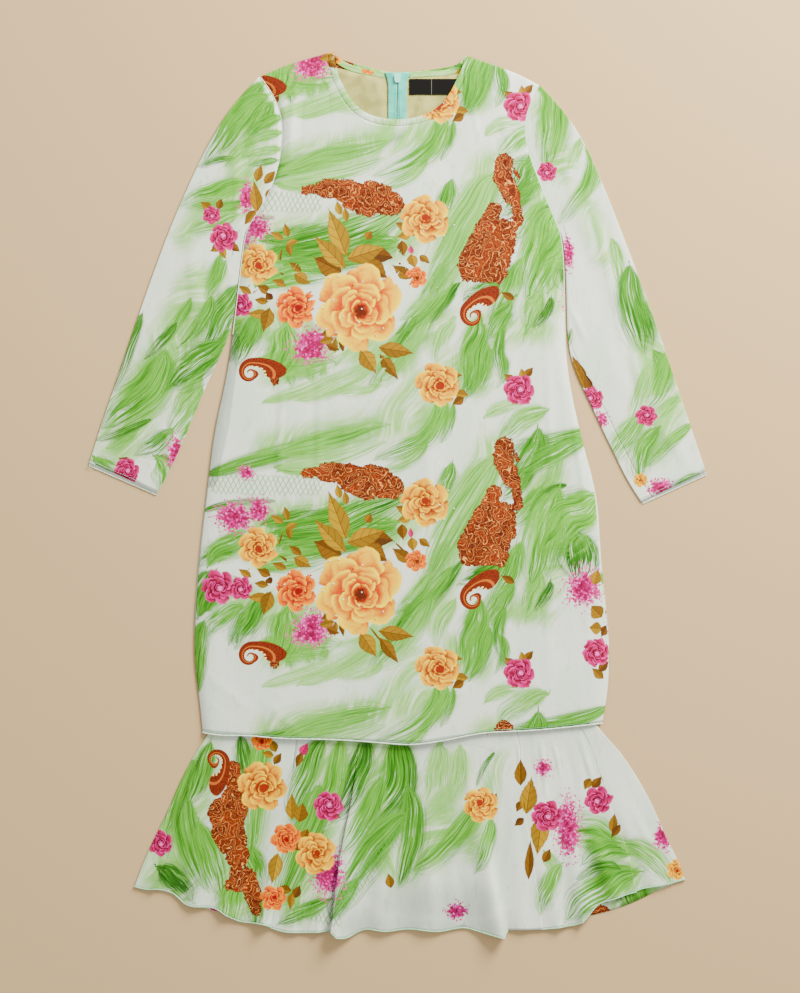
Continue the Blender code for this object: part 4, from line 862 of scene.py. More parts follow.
BODY_PRINT = laid_out(Print(
    flowers=[
        Flower(-54, 262, 60, 0, 20),
        Flower(-142, 262, 29, 1, 80),
        Flower(-195, 323, 28, 2, 10),
        Flower(38, 385, 34, 2, 140),
        Flower(57, 155, 31, 2, 40),
        Flower(170, 147, 22, 3, 100),
        Flower(26, 304, 15, 4, 60),
        Flower(-219, 266, 17, 3, 0),
        Flower(-250, 267, 24, 3, 60),
        Flower(278, 176, 20, 3, 30),
    ],
    leaves=[
        Leaf(-97, 402, -71, 333, 28, 0.25),
        Leaf(-117, 363, -72, 316, 24, 0.3),
        Leaf(-15, 347, -71, 329, 27, 0.35),
        Leaf(-118, 332, -78, 312, 32, 0.6),
        Leaf(-4, 332, -38, 337, 21, 0.75),
        Leaf(-13, 302, -47, 328, 27, 0.6),
        Leaf(-36, 370, -44, 357, 13, 0.5),
        Leaf(-85, 412, -80, 391, 11, 0.3),
        Leaf(-74, 403, -71, 382, 10, 0.4),
        Leaf(-178, 368, -159, 357, 10, 0.35),
        Leaf(-158, 381, -153, 360, 10, 0.45),
        Leaf(-139, 357, -156, 349, 10, 0.35),
        Leaf(-149, 333, -153, 351, 10, 0.5),
        Leaf(-152, 326, -134, 312, 11, 0.55),
        Leaf(-120, 295, -145, 309, 17, 0.4),
        Leaf(-136, 293, -166, 312, 4, 0.7),
        Leaf(-176, 301, -155, 293, 11, 0.45),
        Leaf(-197, 293, -177, 283, 13, 0.55),
        Leaf(-223, 293, -204, 281, 11, 0.4),
        Leaf(-201, 273, -180, 270, 11, 0.5),
        Leaf(-212, 253, -178, 253, 14, 0.35),
        Leaf(-188, 227, -177, 262, 20, 0.5),
        Leaf(-184, 284, -176, 272, 11, 0.8),
        Leaf(-29, 169, -52, 204, 24, 0.35),
        Leaf(24, 198, -27, 206, 22, 0.45),
        Leaf(2, 160, -25, 197, 17, 0.55),
        Leaf(-88, 197, -86, 220, 8, 0.5),
        Leaf(-75, 197, -80, 220, 8, 0.7),
        Leaf(-108, 221, -86, 234, 13, 0.6),
        Leaf(-4, 381, 20, 370, 14, 0.5),
        Leaf(-1, 360, 20, 365, 13, 0.35),
        Leaf(8, 332, 6, 356, 15, 0.6),
        Leaf(22, 316, 20, 337, 15, 0.35),
        Leaf(46, 323, 30, 335, 11, 0.5),
        Leaf(18, 351, 19, 336, 8, 0.95),
        Leaf(-8, 322, 20, 302, 18, 0.55),
        Leaf(74, 143, 99, 140, 13, 0.4),
        Leaf(76, 126, 93, 136, 13, 0.6),
        Leaf(149, 169, 163, 157, 13, 0.5),
        Leaf(173, 178, 176, 161, 11, 0.35),
        Leaf(190, 179, 178, 165, 11, 0.6),
        Leaf(92, 167, 68, 169, 11, 0.5),
        Leaf(-111, 609, -88, 615, 13, 0.45),
        Leaf(-80, 598, -99, 606, 11, 0.6),
        Leaf(281, 293, 275, 270, 17, 0.4),
        Leaf(270, 242, 286, 225, 22, 0.5),
        Leaf(267, 211, 286, 209, 18, 0.4),
        Leaf(284, 197, 295, 214, 13, 0.7),
        Leaf(271, 155, 288, 139, 13, 0.5),
        Leaf(296, 164, 281, 150, 13, 0.7),
        Leaf(144, 284, 164, 273, 11, 0.6),
        Leaf(-192, 289, -219, 272, 3, 0.55),
        Leaf(-160, 347, -166, 326, 3, 0.6),
        Leaf(-10, 336, 15, 312, 3, 0.7),
        Leaf(-16, 183, -40, 213, 3, 0.6),
    ],
    clusters=[
        Cluster(-195, 374, 20, 20),
        Cluster(-118, 213, 28, 24),
        Cluster(-122, 598, 29, 18),
        Cluster(-227, 365, 32, 24),
        Cluster(260, 266, 28, 29),
        Cluster(-212, 427, 13, 11),
    ],
    whirls=[
        Whirl(106, 250, 34, 50),
        Whirl(-206, 170, 33, 5),
    ],
    strokes=[
        Stroke(-260, 424, -215, 441, -164, 456, 8, 0.85),
        Stroke(-170, 435, -136, 431, -100, 424, 8, 0.3),
        Stroke(-271, 372, -241, 382, -172, 388, 6, 0.7),
        Stroke(-188, 356, -145, 364, -103, 374, 12, 0.65),
        Stroke(-183, 333, -156, 337, -130, 339, 16, 0.6),
        Stroke(-4, 357, -36, 349, -74, 340, 16, 0.5),
        Stroke(-234, 323, -257, 315, -276, 298, 12, 0.5),
        Stroke(-260, 287, -272, 266, -281, 224, 18, 0.65),
        Stroke(-220, 242, -246, 225, -272, 200, 14, 0.5),
        Stroke(-190, 248, -212, 223, -234, 189, 12, 0.7),
        Stroke(-271, 217, -281, 182, -282, 130, 14, 0.6),
        Stroke(-136, 217, -142, 189, -153, 161, 12, 0.45),
        Stroke(20, 248, -8, 210, -44, 144, 6, 0.75),
        Stroke(6, 231, -24, 192, -66, 154, 8, 0.3),
        Stroke(-10, 217, -36, 186, -74, 161, 10, 0.2),
        Stroke(38, 262, 10, 224, -24, 172, 6, 0.7),
        Stroke(-186, 130, -122, 150, -50, 181, 10, 0.15),
        Stroke(-136, 133, -80, 155, -30, 186, 12, 0.15),
        Stroke(127, 606, 121, 575, 102, 536, 12, 0.5),
        Stroke(186, 434, 169, 413, 150, 392, 16, 0.6),
        Stroke(200, 406, 183, 378, 160, 357, 16, 0.45),
        Stroke(76, 438, 68, 413, 54, 378, 14, 0.55),
        Stroke(90, 304, 65, 267, 34, 228, 8, 0.8),
        Stroke(74, 294, 46, 259, 10, 224, 10, 0.5),
        Stroke(46, 287, 24, 256, -4, 231, 10, 0.35),
        Stroke(227, 378, 222, 336, 211, 287, 18, 0.45),
        Stroke(144, 301, 121, 287, 90, 273, 14, 0.7),
        Stroke(172, 326, 155, 287, 132, 238, 18, 0.45),
        Stroke(160, 273, 144, 248, 124, 217, 16, 0.55),
        Stroke(40, 469, 18, 447, -24, 427, 10, 0.3),
        Stroke(-190, 584, -150, 581, -88, 584, 22, 0.35),
        Stroke(-150, 575, -149, 563, -148, 549, 8, 0.45),
        Stroke(-124, 575, -122, 567, -120, 554, 8, 0.4),
        Stroke(-103, 578, -103, 570, -108, 559, 8, 0.35),
        Stroke(-262, 426, -136, 461, -44, 483, 14, 0.55),
        Stroke(-158, 454, -94, 472, -18, 493, 18, 0.35),
        Stroke(-158, 437, -88, 447, -22, 469, 12, 0.2),
        Stroke(54, 522, 37, 480, -30, 447, 12, 0.45),
        Stroke(69, 522, 54, 483, 31, 461, 10, 0.4),
        Stroke(78, 522, 74, 497, 61, 469, 6, 0.55),
        Stroke(-164, 431, -130, 433, -74, 433, 10, 0.25),
        Stroke(-158, 343, -94, 356, 6, 393, 26, 0.7),
        Stroke(-153, 321, -80, 329, 1, 347, 18, 0.6),
        Stroke(-192, 294, -136, 308, -88, 312, 18, 0.45),
        Stroke(113, 609, 110, 574, 90, 536, 22, 0.5),
        Stroke(141, 595, 150, 575, 139, 545, 8, 0.5),
        Stroke(197, 483, 188, 452, 155, 416, 24, 0.65),
        Stroke(136, 444, 96, 382, 46, 284, 30, 0.3),
        Stroke(68, 332, 57, 301, 29, 266, 12, 0.6),
        Stroke(222, 399, 202, 343, 186, 276, 32, 0.42),
        Stroke(200, 284, 190, 259, 181, 228, 16, 0.35),
        Stroke(215, 276, 208, 255, 191, 234, 8, 0.9),
        Stroke(115, 245, 107, 203, 96, 144, 22, 0.5),
        Stroke(150, 237, 141, 203, 150, 161, 10, 0.6),
        Stroke(80, 248, 59, 214, 54, 186, 12, 0.2),
        Stroke(48, 259, 15, 210, -30, 155, 20, 0.3),
        Stroke(40, 242, 18, 206, -5, 175, 6, 0.85),
        Stroke(-190, 251, -206, 224, -223, 186, 18, 0.6),
        Stroke(-153, 234, -159, 203, -170, 164, 26, 0.42),
        Stroke(-128, 210, -125, 189, -136, 167, 12, 0.45),
        Stroke(-106, 144, -75, 150, -36, 167, 8, 0.12),
        Stroke(261, 472, 220, 455, 172, 430, 16, 0.55),
        Stroke(236, 410, 208, 399, 186, 374, 6, 0.9),
        Stroke(278, 391, 241, 363, 206, 326, 36, 0.42),
        Stroke(248, 340, 253, 312, 251, 279, 32, 0.85),
        Stroke(206, 119, 172, 104, 144, 80, 16, 0.3),
        Stroke(292, 99, 239, 80, 160, 69, 12, 0.5),
        Stroke(-262, 301, -234, 326, -190, 336, 18, 0.5),
        Stroke(-276, 231, -255, 259, -220, 273, 18, 0.6),
        Stroke(-282, 119, -276, 175, -265, 210, 12, 0.5),
        Stroke(124, 504, 144, 518, 172, 522, 10, 0.15),
        Stroke(-24, 559, -36, 546, -80, 536, 8, 0.1),
        Stroke(200, 396, 220, 427, 227, 455, 10, 0.35),
    ],
    batik=[
        Patch(-128, 426, -100, 430, 7),
        Patch(-100, 428, -66, 427, 14),
        Patch(-72, 424, -33, 413, 17),
        Patch(-38, 427, -19, 421, 13),
        Patch(-30, 410, -8, 407, 17),
        Patch(-66, 413, -41, 402, 14),
        Patch(149, 465, 146, 444, 13),
        Patch(148, 444, 159, 419, 13),
        Patch(163, 455, 169, 444, 3),
        Patch(164, 419, 169, 382, 7),
        Patch(135, 399, 124, 374, 11),
        Patch(127, 368, 104, 326, 20),
        Patch(144, 365, 135, 326, 22),
        Patch(155, 368, 160, 343, 8),
        Patch(107, 312, 141, 312, 15),
        Patch(96, 326, 99, 309, 13),
        Patch(144, 301, 149, 332, 7),
        Patch(-173, 566, -172, 556, 7),
    ],
    net=[
        Patch(-250, 412, -118, 408, 16),
    ],
    washes=[
        Patch(-178, 462, 60, 511, 24),
        Patch(-200, 343, -4, 364, 42),
        Patch(-213, 245, 4, 189, 28),
        Patch(38, 231, 130, 455, 28),
        Patch(207, 427, 207, 273, 30),
        Patch(115, 231, 200, 231, 22),
        Patch(-172, 567, -108, 588, 22),
        Patch(80, 581, 115, 553, 20),
        Patch(31, 161, -25, 105, 18),
    ],
    repeats=True,
))
FRONT_FOLDS = [
    Fold(-172, 160, -176, 20, 9, -0.5),
    Fold(-160, 170, -166, 10, 8, 0.9),
    Fold(-118, 190, -120, 20, 9, -0.5),
    Fold(-106, 180, -112, -20, 8, 0.8),
    Fold(-74, 150, -70, -60, 12, 0.7),
    Fold(-46, 120, -42, -110, 12, -0.4),
    Fold(46, 160, 40, -60, 14, 0.7),
    Fold(210, 200, 214, 20, 9, 1.2),
    Fold(224, 180, 236, 10, 7, -0.5),
    Fold(244, 130, 262, -10, 9, 1.3),
    Fold(-144, 570, -152, 462, 9, 1.2),
    Fold(-132, 560, -138, 470, 6, -0.5),
    Fold(146, 530, 158, 480, 9, 0.9),
    Fold(104, 548, 114, 498, 8, 0.8),
    Fold(-268, -250, -206, -300, 8, 0.9),
    Fold(-262, -282, -214, -318, 6, -0.4),
    Fold(-186, -288, -132, -338, 8, 0.9),
    Fold(-252, -120, -256, -220, 10, 0.8),
    Fold(-90, -120, -96, -300, 16, 0.6),
    Fold(20, -150, 10, -310, 18, 0.5),
    Fold(120, -90, 132, -290, 18, 0.7),
    Fold(206, -60, 214, -270, 14, 0.6),
    Fold(258, -40, 270, -250, 10, 0.8),
    Fold(-200, 300, -120, 262, 16, 0.5),
    Fold(60, 380, 150, 340, 18, 0.6),
]
FRONT_SHEER = [
    Patch(-274, -344, -228, -348, 17),
    Patch(-228, -348, -168, -355, 16),
    Patch(-168, -355, -66, -357, 16),
    Patch(-66, -357, 32, -360, 17),
    Patch(32, -360, 80, -352, 17),
    Patch(80, -352, 144, -344, 16),
    Patch(144, -344, 240, -339, 16),
    Patch(240, -339, 290, -330, 16),
    Patch(-232, 216, -246, 105, 12),
    Patch(-246, 105, -264, 22, 12),
]
CHIFFON = printed_chiffon()
CLOTH_THICKNESS = 0.0005
RELAX_TIMES = 5
cloths = []


def cloth(node, design, levels, folds=(), under_folds=(), sheer=(), softness=1.0, under=False, weld=0.0):
    """A printed sheet on a CAD panel's shape, with its folds; it stands for that panel."""
    obj = one_side(node, under, weld)
    apply_modifier(obj, "SUBSURF", levels=levels, render_levels=levels)
    relax(obj, RELAX_TIMES)
    fold(obj, folds)
    fold(obj, under_folds, up=False)
    write_print(obj, design, sheer, softness)
    obj.data.materials.append(CHIFFON)
    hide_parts(node)
    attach(obj, "root")
    cloths.append(obj)
    return obj


def thicken(obj, thickness=CLOTH_THICKNESS):
    apply_modifier(obj, "SOLIDIFY", thickness=thickness, offset=-1.0)


def rim_path(obj, start, end):
    """The sheet's edge between two places, given in millimetres, the shorter way round."""
    mesh = obj.data
    co = positions(mesh)
    beside = {}
    uses = {}
    for face in mesh.polygons:
        for edge in face.edge_keys:
            uses[edge] = uses.get(edge, 0) + 1
    for (a, b), used in uses.items():
        if used == 1:
            beside.setdefault(a, []).append(b)
            beside.setdefault(b, []).append(a)
    rim = np.array(sorted(beside))
    first, last = (rim[np.linalg.norm(co[rim, :2] * 1000 - place, axis=1).argmin()] for place in (start, end))
    ways = []
    for step in beside[first]:
        way = [first, step]
        while way[-1] != last and way[-1] != first:
            way.append(next(v for v in beside[way[-1]] if v != way[-2]))
        ways.append(way)
    ways = sorted((way for way in ways if way[-1] == last), key=len)
    if len(ways) > 1 and len(ways[1]) < 1.3 * len(ways[0]) and co[ways[1], 2].mean() > co[ways[0], 2].mean():
        ways.reverse()
    return [Vector(co[v]) for v in ways[0]]


def tube(name, path, radius, material, body="root", uneven=0.0, sides=2):
    """A thin round strip along a path, as of rolled cloth or thread."""
    data = bpy.data.curves.new(name, "CURVE")
    data.dimensions = "3D"
    data.bevel_depth = radius
    data.bevel_resolution = sides
    data.use_fill_caps = True
    spline = data.splines.new("POLY")
    spline.points.add(len(path) - 1)
    for number, (point, place) in enumerate(zip(spline.points, path)):
        point.co = (place[0], place[1], max(place[2], radius), 1.0)
        point.radius = 1.0 + uneven * (0.6 * math.sin(number * 1.9) + 0.4 * math.sin(number * 0.7))
    obj = bpy.data.objects.new(name, data)
    bpy.context.collection.objects.link(obj)
    take(obj)
    bpy.ops.object.convert(target="MESH")
    obj = bpy.context.active_object
    obj.data.shade_smooth()
    obj.data.materials.clear()
    obj.data.materials.append(material)
    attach(obj, body)
    return obj


def thread_material(name, low, high):
    """Rolled cloth or thread: two shades in fine slanted turns."""
    material, graph, shader = new_material(name, 0.7)
    spot = graph.node("TexCoord").outputs["Object"]
    x, y, z = graph.parts(spot)
    turns = graph.math("SINE", graph.math("MULTIPLY", graph.math("ADD", x, y), 2600.0))
    graph.put(shader["Base Color"], graph.mix(graph.smooth(turns, -0.6, 0.6), low, high))
    return material


def stitches(name, path, cloth_piece, inset, length, gap, radius, material):
    """A row of short stitches beside a path, lying on the cloth."""
    surface = positions(cloth_piece.data)
    surface = surface[normals(cloth_piece.data)[:, 2] > 0]
    bm = bmesh.new()
    for a, b in zip(path, path[1:]):
        step = b - a
        if step.length < 1e-6:
            continue
        across = Vector((-step.y, step.x, 0)).normalized() * inset
        count = max(1, round(step.length / (length + gap)))
        for number in range(count):
            middle = a + step * ((number + 0.5) / count) + across
            nearest = np.abs(surface[:, :2] - (middle.x, middle.y)).sum(axis=1).argmin()
            middle.z = float(surface[nearest, 2]) + radius / 2
            half = step.normalized() * length / 2
            side = step.normalized().cross(Vector((0, 0, 1))) * radius
            rise = Vector((0, 0, radius))
            ring = [middle - half, middle + half]
            verts = []
            for end in ring:
                offsets = (side, rise * 1.6, -side, -rise * 0.4)
                verts.append([bm.verts.new(end + offset) for offset in offsets])
            for i in range(4):
                j = (i + 1) % 4
                bm.faces.new((verts[0][i], verts[0][j], verts[1][j], verts[1][i]))
            bm.faces.new(verts[0][::-1])
            bm.faces.new(verts[1])
    bmesh.ops.recalc_face_normals(bm, faces=bm.faces)
    mesh = bpy.data.meshes.new(name)
    bm.to_mesh(mesh)
    bm.free()
    mesh.materials.append(material)
    obj = bpy.data.objects.new(name, mesh)
    bpy.context.collection.objects.link(obj)
    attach(obj, "root")
    return obj


PALE_THREAD = thread_material("pale_thread", colour(206, 220, 206), colour(226, 234, 224))
MINT_THREAD = thread_material("mint_thread", colour(150, 198, 160), colour(196, 222, 202))
trims = {}

tunic_front = cloth("tunic_front", BODY_PRINT, 3, FRONT_FOLDS, sheer=FRONT_SHEER, weld=0.005)
front_hem = rim_path(tunic_front, (-273, -333), (288, -318))
front_seams = [rim_path(tunic_front, (-192, 585), (-228, 226)), rim_path(tunic_front, (198, 573), (234, 217))]
trims["tunic_front"] = [
    tube("tunic_hem_roll", front_hem, 0.0009, PALE_THREAD, uneven=0.25),
    tube("armhole_seam_left", front_seams[0], 0.0006, PALE_THREAD, uneven=0.1),
    tube("armhole_seam_right", front_seams[1], 0.0006, PALE_THREAD, uneven=0.1),
    stitches("tunic_hem_stitches", front_hem, tunic_front, 0.003, 0.0022, 0.002, 0.0002, MINT_THREAD),
]

# Stones: small faceted glass domes, clear, gold and red, pressed on to the petals of the larger flowers.
# They are set on both repeats of the print.


def stone_material(name, low, high):
    material, graph, shader = new_material(name, 0.12)
    spot = graph.node("TexCoord").outputs["Object"]
    graph.put(shader["Base Color"], graph.mix(graph.smooth(graph.noise(spot, 900.0), 0.4, 0.6), low, high))
    shader["Coat Weight"].default_value = 0.6
    return material


def stones(name, places, material):
    """Low domes with eight sides and a flat top, each resting on the front."""
    top = positions(tunic_front.data)
    bm = bmesh.new()
    for number, (x, y) in enumerate(places):
        z = top[np.abs(top[:, :2] * 1000 - (x, y)).sum(axis=1).argmin(), 2]
        rings = []
        for radius, height in ((0.0013, -0.0001), (0.0011, 0.0005), (0.0006, 0.0009)):
            angles = [(2 * math.pi * step + number) / 8 for step in range(8)]
            rings.append([
                bm.verts.new((x / 1000 + radius * math.cos(a), y / 1000 + radius * math.sin(a), z + height))
                for a in angles
            ])
        for low, high in zip(rings, rings[1:]):
            for i in range(8):
                j = (i + 1) % 8
                bm.faces.new((low[i], low[j], high[j], high[i]))
        bm.faces.new(rings[0][::-1])
        bm.faces.new(rings[-1])
    mesh = bpy.data.meshes.new(name)
    bm.to_mesh(mesh)
    bm.free()
    mesh.materials.append(material)
    obj = bpy.data.objects.new(name, mesh)
    bpy.context.collection.objects.link(obj)
    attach(obj, "root")
    return obj


CLEAR_PLACES = [
    (-151, 288), (-158, 271), (-168, 270), (-95, 304), (-82, 306), (-49, 298), (-90, 272), (-104, 262),
    (-50, 260), (-76, 250), (-54, 241), (-100, 232), (-86, 227), (-20, 233), (46, 412), (71, 402), (79, 377),
    (59, 382), (65, 362), (36, 369), (64, 548), (72, 541),
]
GOLD_PLACES = [(-207, 293), (-31, 223), (-38, 247), (-129, 262), (52, 168), (75, 152), (40, 138), (-196, 340)]
RED_PLACES = [(-62, 293), (-34, 275), (-121, 284), (-139, 240), (61, 174), (-180, 314)]
for name, places, low, high in (
    ("clear_stones", CLEAR_PLACES, (196, 204, 206), (240, 244, 244)),
    ("gold_stones", GOLD_PLACES, (206, 150, 40), (240, 206, 96)),
    ("red_stones", RED_PLACES, (150, 40, 24), (206, 80, 44)),
):
    lower = [(x, y - TILE_HEIGHT) for x, y in places if y - TILE_HEIGHT > -320 and y < 420]
    trims["tunic_front"].append(
        stones(name, places + lower, stone_material(name, colour(*low), colour(*high)))
    )

# Tunic back: two panels of the same chiffon, joined down the middle below the zip.
# Only their outer side can be seen, from below.

BACK_FOLDS = [
    Fold(-170, 120, -176, -80, 14, 0.2),
    Fold(-80, 60, -70, -220, 12, 0.2),
    Fold(60, 140, 80, -60, 13, 0.2),
    Fold(170, 60, 186, -240, 15, 0.2),
]
cloth("tunic_back_left", BODY_PRINT, 3, under_folds=BACK_FOLDS, under=True)
cloth("tunic_back_right", BODY_PRINT, 3, under_folds=BACK_FOLDS, under=True)

# Sleeves: each one piece of unlined chiffon, folded at its outer edge, the seam along the underarm.
# They are set in under the armhole seams and end in a stitched hem.

LEFT_SLEEVE_PRINT = laid_out(Print(
    flowers=[
        Flower(-260, 391, 13, 3, 30),
        Flower(-243, 361, 20, 3, 200),
        Flower(-379, 34, 18, 3, 90),
        Flower(-190, 326, 14, 2, 0),
    ],
    leaves=[
        Leaf(-190, 463, -198, 438, 13, 0.45),
        Leaf(-201, 441, -195, 393, 18, 0.4),
        Leaf(-170, 455, -187, 435, 13, 0.5),
        Leaf(-173, 433, -184, 413, 11, 0.6),
        Leaf(-215, 377, -198, 399, 14, 0.5),
        Leaf(-276, 410, -260, 399, 13, 0.45),
        Leaf(-246, 416, -251, 399, 11, 0.6),
        Leaf(-262, 340, -246, 351, 13, 0.5),
        Leaf(-240, 329, -248, 349, 11, 0.35),
        Leaf(-220, 340, -234, 351, 11, 0.6),
        Leaf(-391, 52, -372, 43, 13, 0.6),
        Leaf(-363, 24, -374, 38, 13, 0.45),
        Leaf(-388, 18, -380, 29, 10, 0.8),
    ],
    clusters=[
        Cluster(-310, 56, 14, 29),
        Cluster(-212, 416, 11, 24),
    ],
    whirls=[],
    strokes=[
        Stroke(-167, 469, -190, 465, -209, 461, 6, 0.6),
        Stroke(-229, 472, -254, 468, -279, 458, 5, 0.85),
        Stroke(-216, 435, -246, 427, -282, 419, 10, 0.5),
        Stroke(-220, 406, -248, 402, -282, 405, 10, 0.45),
        Stroke(-176, 547, -190, 528, -206, 508, 16, 0.55),
        Stroke(-206, 497, -223, 480, -240, 461, 10, 0.35),
        Stroke(-241, 326, -254, 301, -268, 273, 10, 0.4),
        Stroke(-290, 273, -302, 248, -318, 220, 10, 0.5),
        Stroke(-232, 231, -248, 209, -268, 189, 12, 0.5),
        Stroke(-346, 172, -363, 141, -388, 122, 14, 0.6),
        Stroke(-366, 91, -383, 77, -405, 66, 10, 0.35),
        Stroke(-276, 169, -296, 139, -310, 116, 14, 0.3),
        Stroke(-190, 575, -220, 536, -268, 466, 18, 0.6),
        Stroke(-187, 556, -218, 528, -246, 483, 24, 0.45),
        Stroke(-162, 528, -187, 519, -212, 497, 10, 0.5),
        Stroke(-162, 508, -190, 500, -212, 486, 8, 0.4),
        Stroke(-162, 486, -187, 480, -215, 472, 8, 0.35),
        Stroke(-190, 536, -198, 519, -211, 503, 8, 0.85),
        Stroke(-215, 437, -255, 424, -302, 405, 16, 0.4),
        Stroke(-216, 410, -232, 405, -246, 402, 6, 0.85),
        Stroke(-227, 392, -255, 382, -290, 368, 14, 0.3),
        Stroke(-246, 337, -257, 309, -265, 281, 8, 0.45),
        Stroke(-310, 239, -328, 217, -351, 192, 8, 0.85),
        Stroke(-261, 276, -272, 245, -304, 209, 12, 0.55),
        Stroke(-223, 290, -246, 252, -267, 203, 20, 0.6),
        Stroke(-250, 211, -282, 183, -318, 153, 26, 0.65),
        Stroke(-326, 195, -349, 150, -408, 97, 32, 0.48),
        Stroke(-358, 252, -377, 203, -397, 147, 10, 0.75),
        Stroke(-346, 106, -380, 90, -421, 76, 6, 0.8),
        Stroke(-317, 90, -338, 71, -363, 57, 14, 0.7),
        Stroke(-335, 52, -324, 35, -332, 7, 18, 0.45),
        Stroke(-424, 52, -408, 42, -386, 35, 10, 0.45),
        Stroke(-276, 147, -293, 119, -318, 88, 18, 0.35),
        Stroke(-282, 105, -290, 88, -302, 69, 12, 0.4),
    ],
    batik=[],
    net=[],
    washes=[
        Patch(-200, 567, -220, 413, 30),
        Patch(-276, 287, -388, 77, 36),
        Patch(-262, 420, -300, 360, 16),
    ],
    repeats=False,
))
RIGHT_SLEEVE_PRINT = laid_out(Print(
    flowers=[
        Flower(209, 452, 14, 3, 10),
        Flower(348, 111, 15, 3, 120),
        Flower(271, 134, 17, 3, 220),
        Flower(340, 21, 10, 2, 0),
    ],
    leaves=[
        Leaf(244, 197, 264, 147, 18, 0.5),
        Leaf(261, 172, 272, 144, 11, 0.7),
        Leaf(334, 99, 348, 116, 11, 0.5),
        Leaf(359, 122, 348, 105, 11, 0.65),
        Leaf(200, 461, 211, 447, 10, 0.6),
    ],
    clusters=[
        Cluster(239, 339, 8, 27),
        Cluster(227, 272, 7, 13),
        Cluster(368, 10, 20, 14),
        Cluster(286, 106, 11, 11),
    ],
    whirls=[],
    strokes=[
        Stroke(232, 542, 230, 508, 216, 469, 8, 0.35),
        Stroke(255, 498, 250, 480, 239, 458, 8, 0.25),
        Stroke(300, 357, 309, 326, 314, 287, 10, 0.3),
        Stroke(334, 273, 348, 242, 356, 210, 12, 0.8),
        Stroke(360, 200, 373, 172, 368, 144, 12, 0.6),
        Stroke(390, 136, 373, 119, 354, 99, 10, 0.3),
        Stroke(200, 570, 218, 539, 208, 461, 24, 0.48),
        Stroke(264, 486, 270, 447, 227, 382, 12, 0.42),
        Stroke(289, 486, 281, 448, 272, 424, 8, 0.25),
        Stroke(324, 315, 328, 262, 344, 203, 22, 0.68),
        Stroke(379, 200, 368, 155, 351, 122, 18, 0.42),
        Stroke(351, 181, 340, 144, 328, 105, 12, 0.2),
        Stroke(342, 108, 317, 77, 303, 46, 18, 0.35),
        Stroke(410, 99, 382, 74, 348, 41, 10, 0.42),
        Stroke(362, 91, 342, 60, 337, 21, 16, 0.48),
        Stroke(424, 27, 407, 21, 384, 7, 8, 0.5),
        Stroke(225, 200, 236, 217, 243, 231, 8, 0.5),
    ],
    batik=[],
    net=[],
    washes=[
        Patch(207, 539, 228, 455, 22),
        Patch(340, 287, 360, 161, 25),
        Patch(395, 133, 354, 63, 20),
        Patch(262, 420, 290, 330, 14),
    ],
    repeats=False,
))
LEFT_SLEEVE_FOLDS = [
    Fold(-220, 511, -211, 441, 7, -0.4),
    Fold(-228, 500, -222, 380, 9, 1.2),
    Fold(-288, 343, -276, 231, 14, 1.4),
    Fold(-300, 330, -296, 240, 8, -0.4),
    Fold(-250, 300, -240, 250, 9, 0.8),
    Fold(-340, 160, -372, 84, 14, 0.9),
    Fold(-300, 140, -330, 60, 10, 0.7),
]
RIGHT_SLEEVE_FOLDS = [
    Fold(279, 385, 300, 287, 9, 1.2),
    Fold(300, 287, 312, 231, 8, 0.9),
    Fold(244, 259, 262, 217, 8, 1.2),
    Fold(329, 203, 340, 133, 9, 1.1),
    Fold(232, 480, 244, 420, 9, 0.8),
    Fold(350, 120, 392, 60, 12, 0.8),
]
sleeve_left = cloth("sleeve_left", LEFT_SLEEVE_PRINT, 3, LEFT_SLEEVE_FOLDS)
sleeve_right = cloth("sleeve_right", RIGHT_SLEEVE_PRINT, 3, RIGHT_SLEEVE_FOLDS)
left_cuff = rim_path(sleeve_left, (-424, 42), (-334, 4))
right_cuff = rim_path(sleeve_right, (430, 32), (341, -13))
trims["sleeve_left"] = [
    tube("cuff_roll_left", left_cuff, 0.0006, PALE_THREAD, uneven=0.2),
    stitches("cuff_stitches_left", left_cuff, sleeve_left, 0.0075, 0.0024, 0.002, 0.0002, MINT_THREAD),
]
trims["sleeve_right"] = [
    tube("cuff_roll_right", right_cuff, 0.0006, PALE_THREAD, uneven=0.2),
    stitches("cuff_stitches_right", right_cuff, sleeve_right, -0.0075, 0.0024, 0.002, 0.0002, MINT_THREAD),
]

# Neck: a bias strip of the print binds the front neckline, puckered where it was eased round the curve.
# A narrow facing of the print is sewn along the back neck, either side of the zip.

BINDING_PRINT = BODY_PRINT._replace(flowers=BODY_PRINT.flowers + [Flower(55, 542, 22, 2, 40)])
FACING_PRINT = laid_out(Print(
    flowers=[Flower(-40, 600, 12, 1, 20), Flower(-86, 610, 9, 2, 60)],
    leaves=[],
    clusters=[],
    whirls=[],
    strokes=[
        Stroke(-88, 606, -54, 598, -16, 590, 12, 0.1),
        Stroke(-70, 612, -50, 604, -28, 600, 4, 0.4),
        Stroke(94, 608, 54, 597, 16, 592, 12, 0.1),
        Stroke(92, 594, 84, 600, 76, 596, 6, 0.85),
        Stroke(70, 604, 50, 598, 34, 594, 4, 0.35),
    ],
    batik=[],
    net=[],
    washes=[Patch(-90, 600, -16, 590, 20), Patch(16, 590, 94, 600, 20)],
    repeats=False,
))


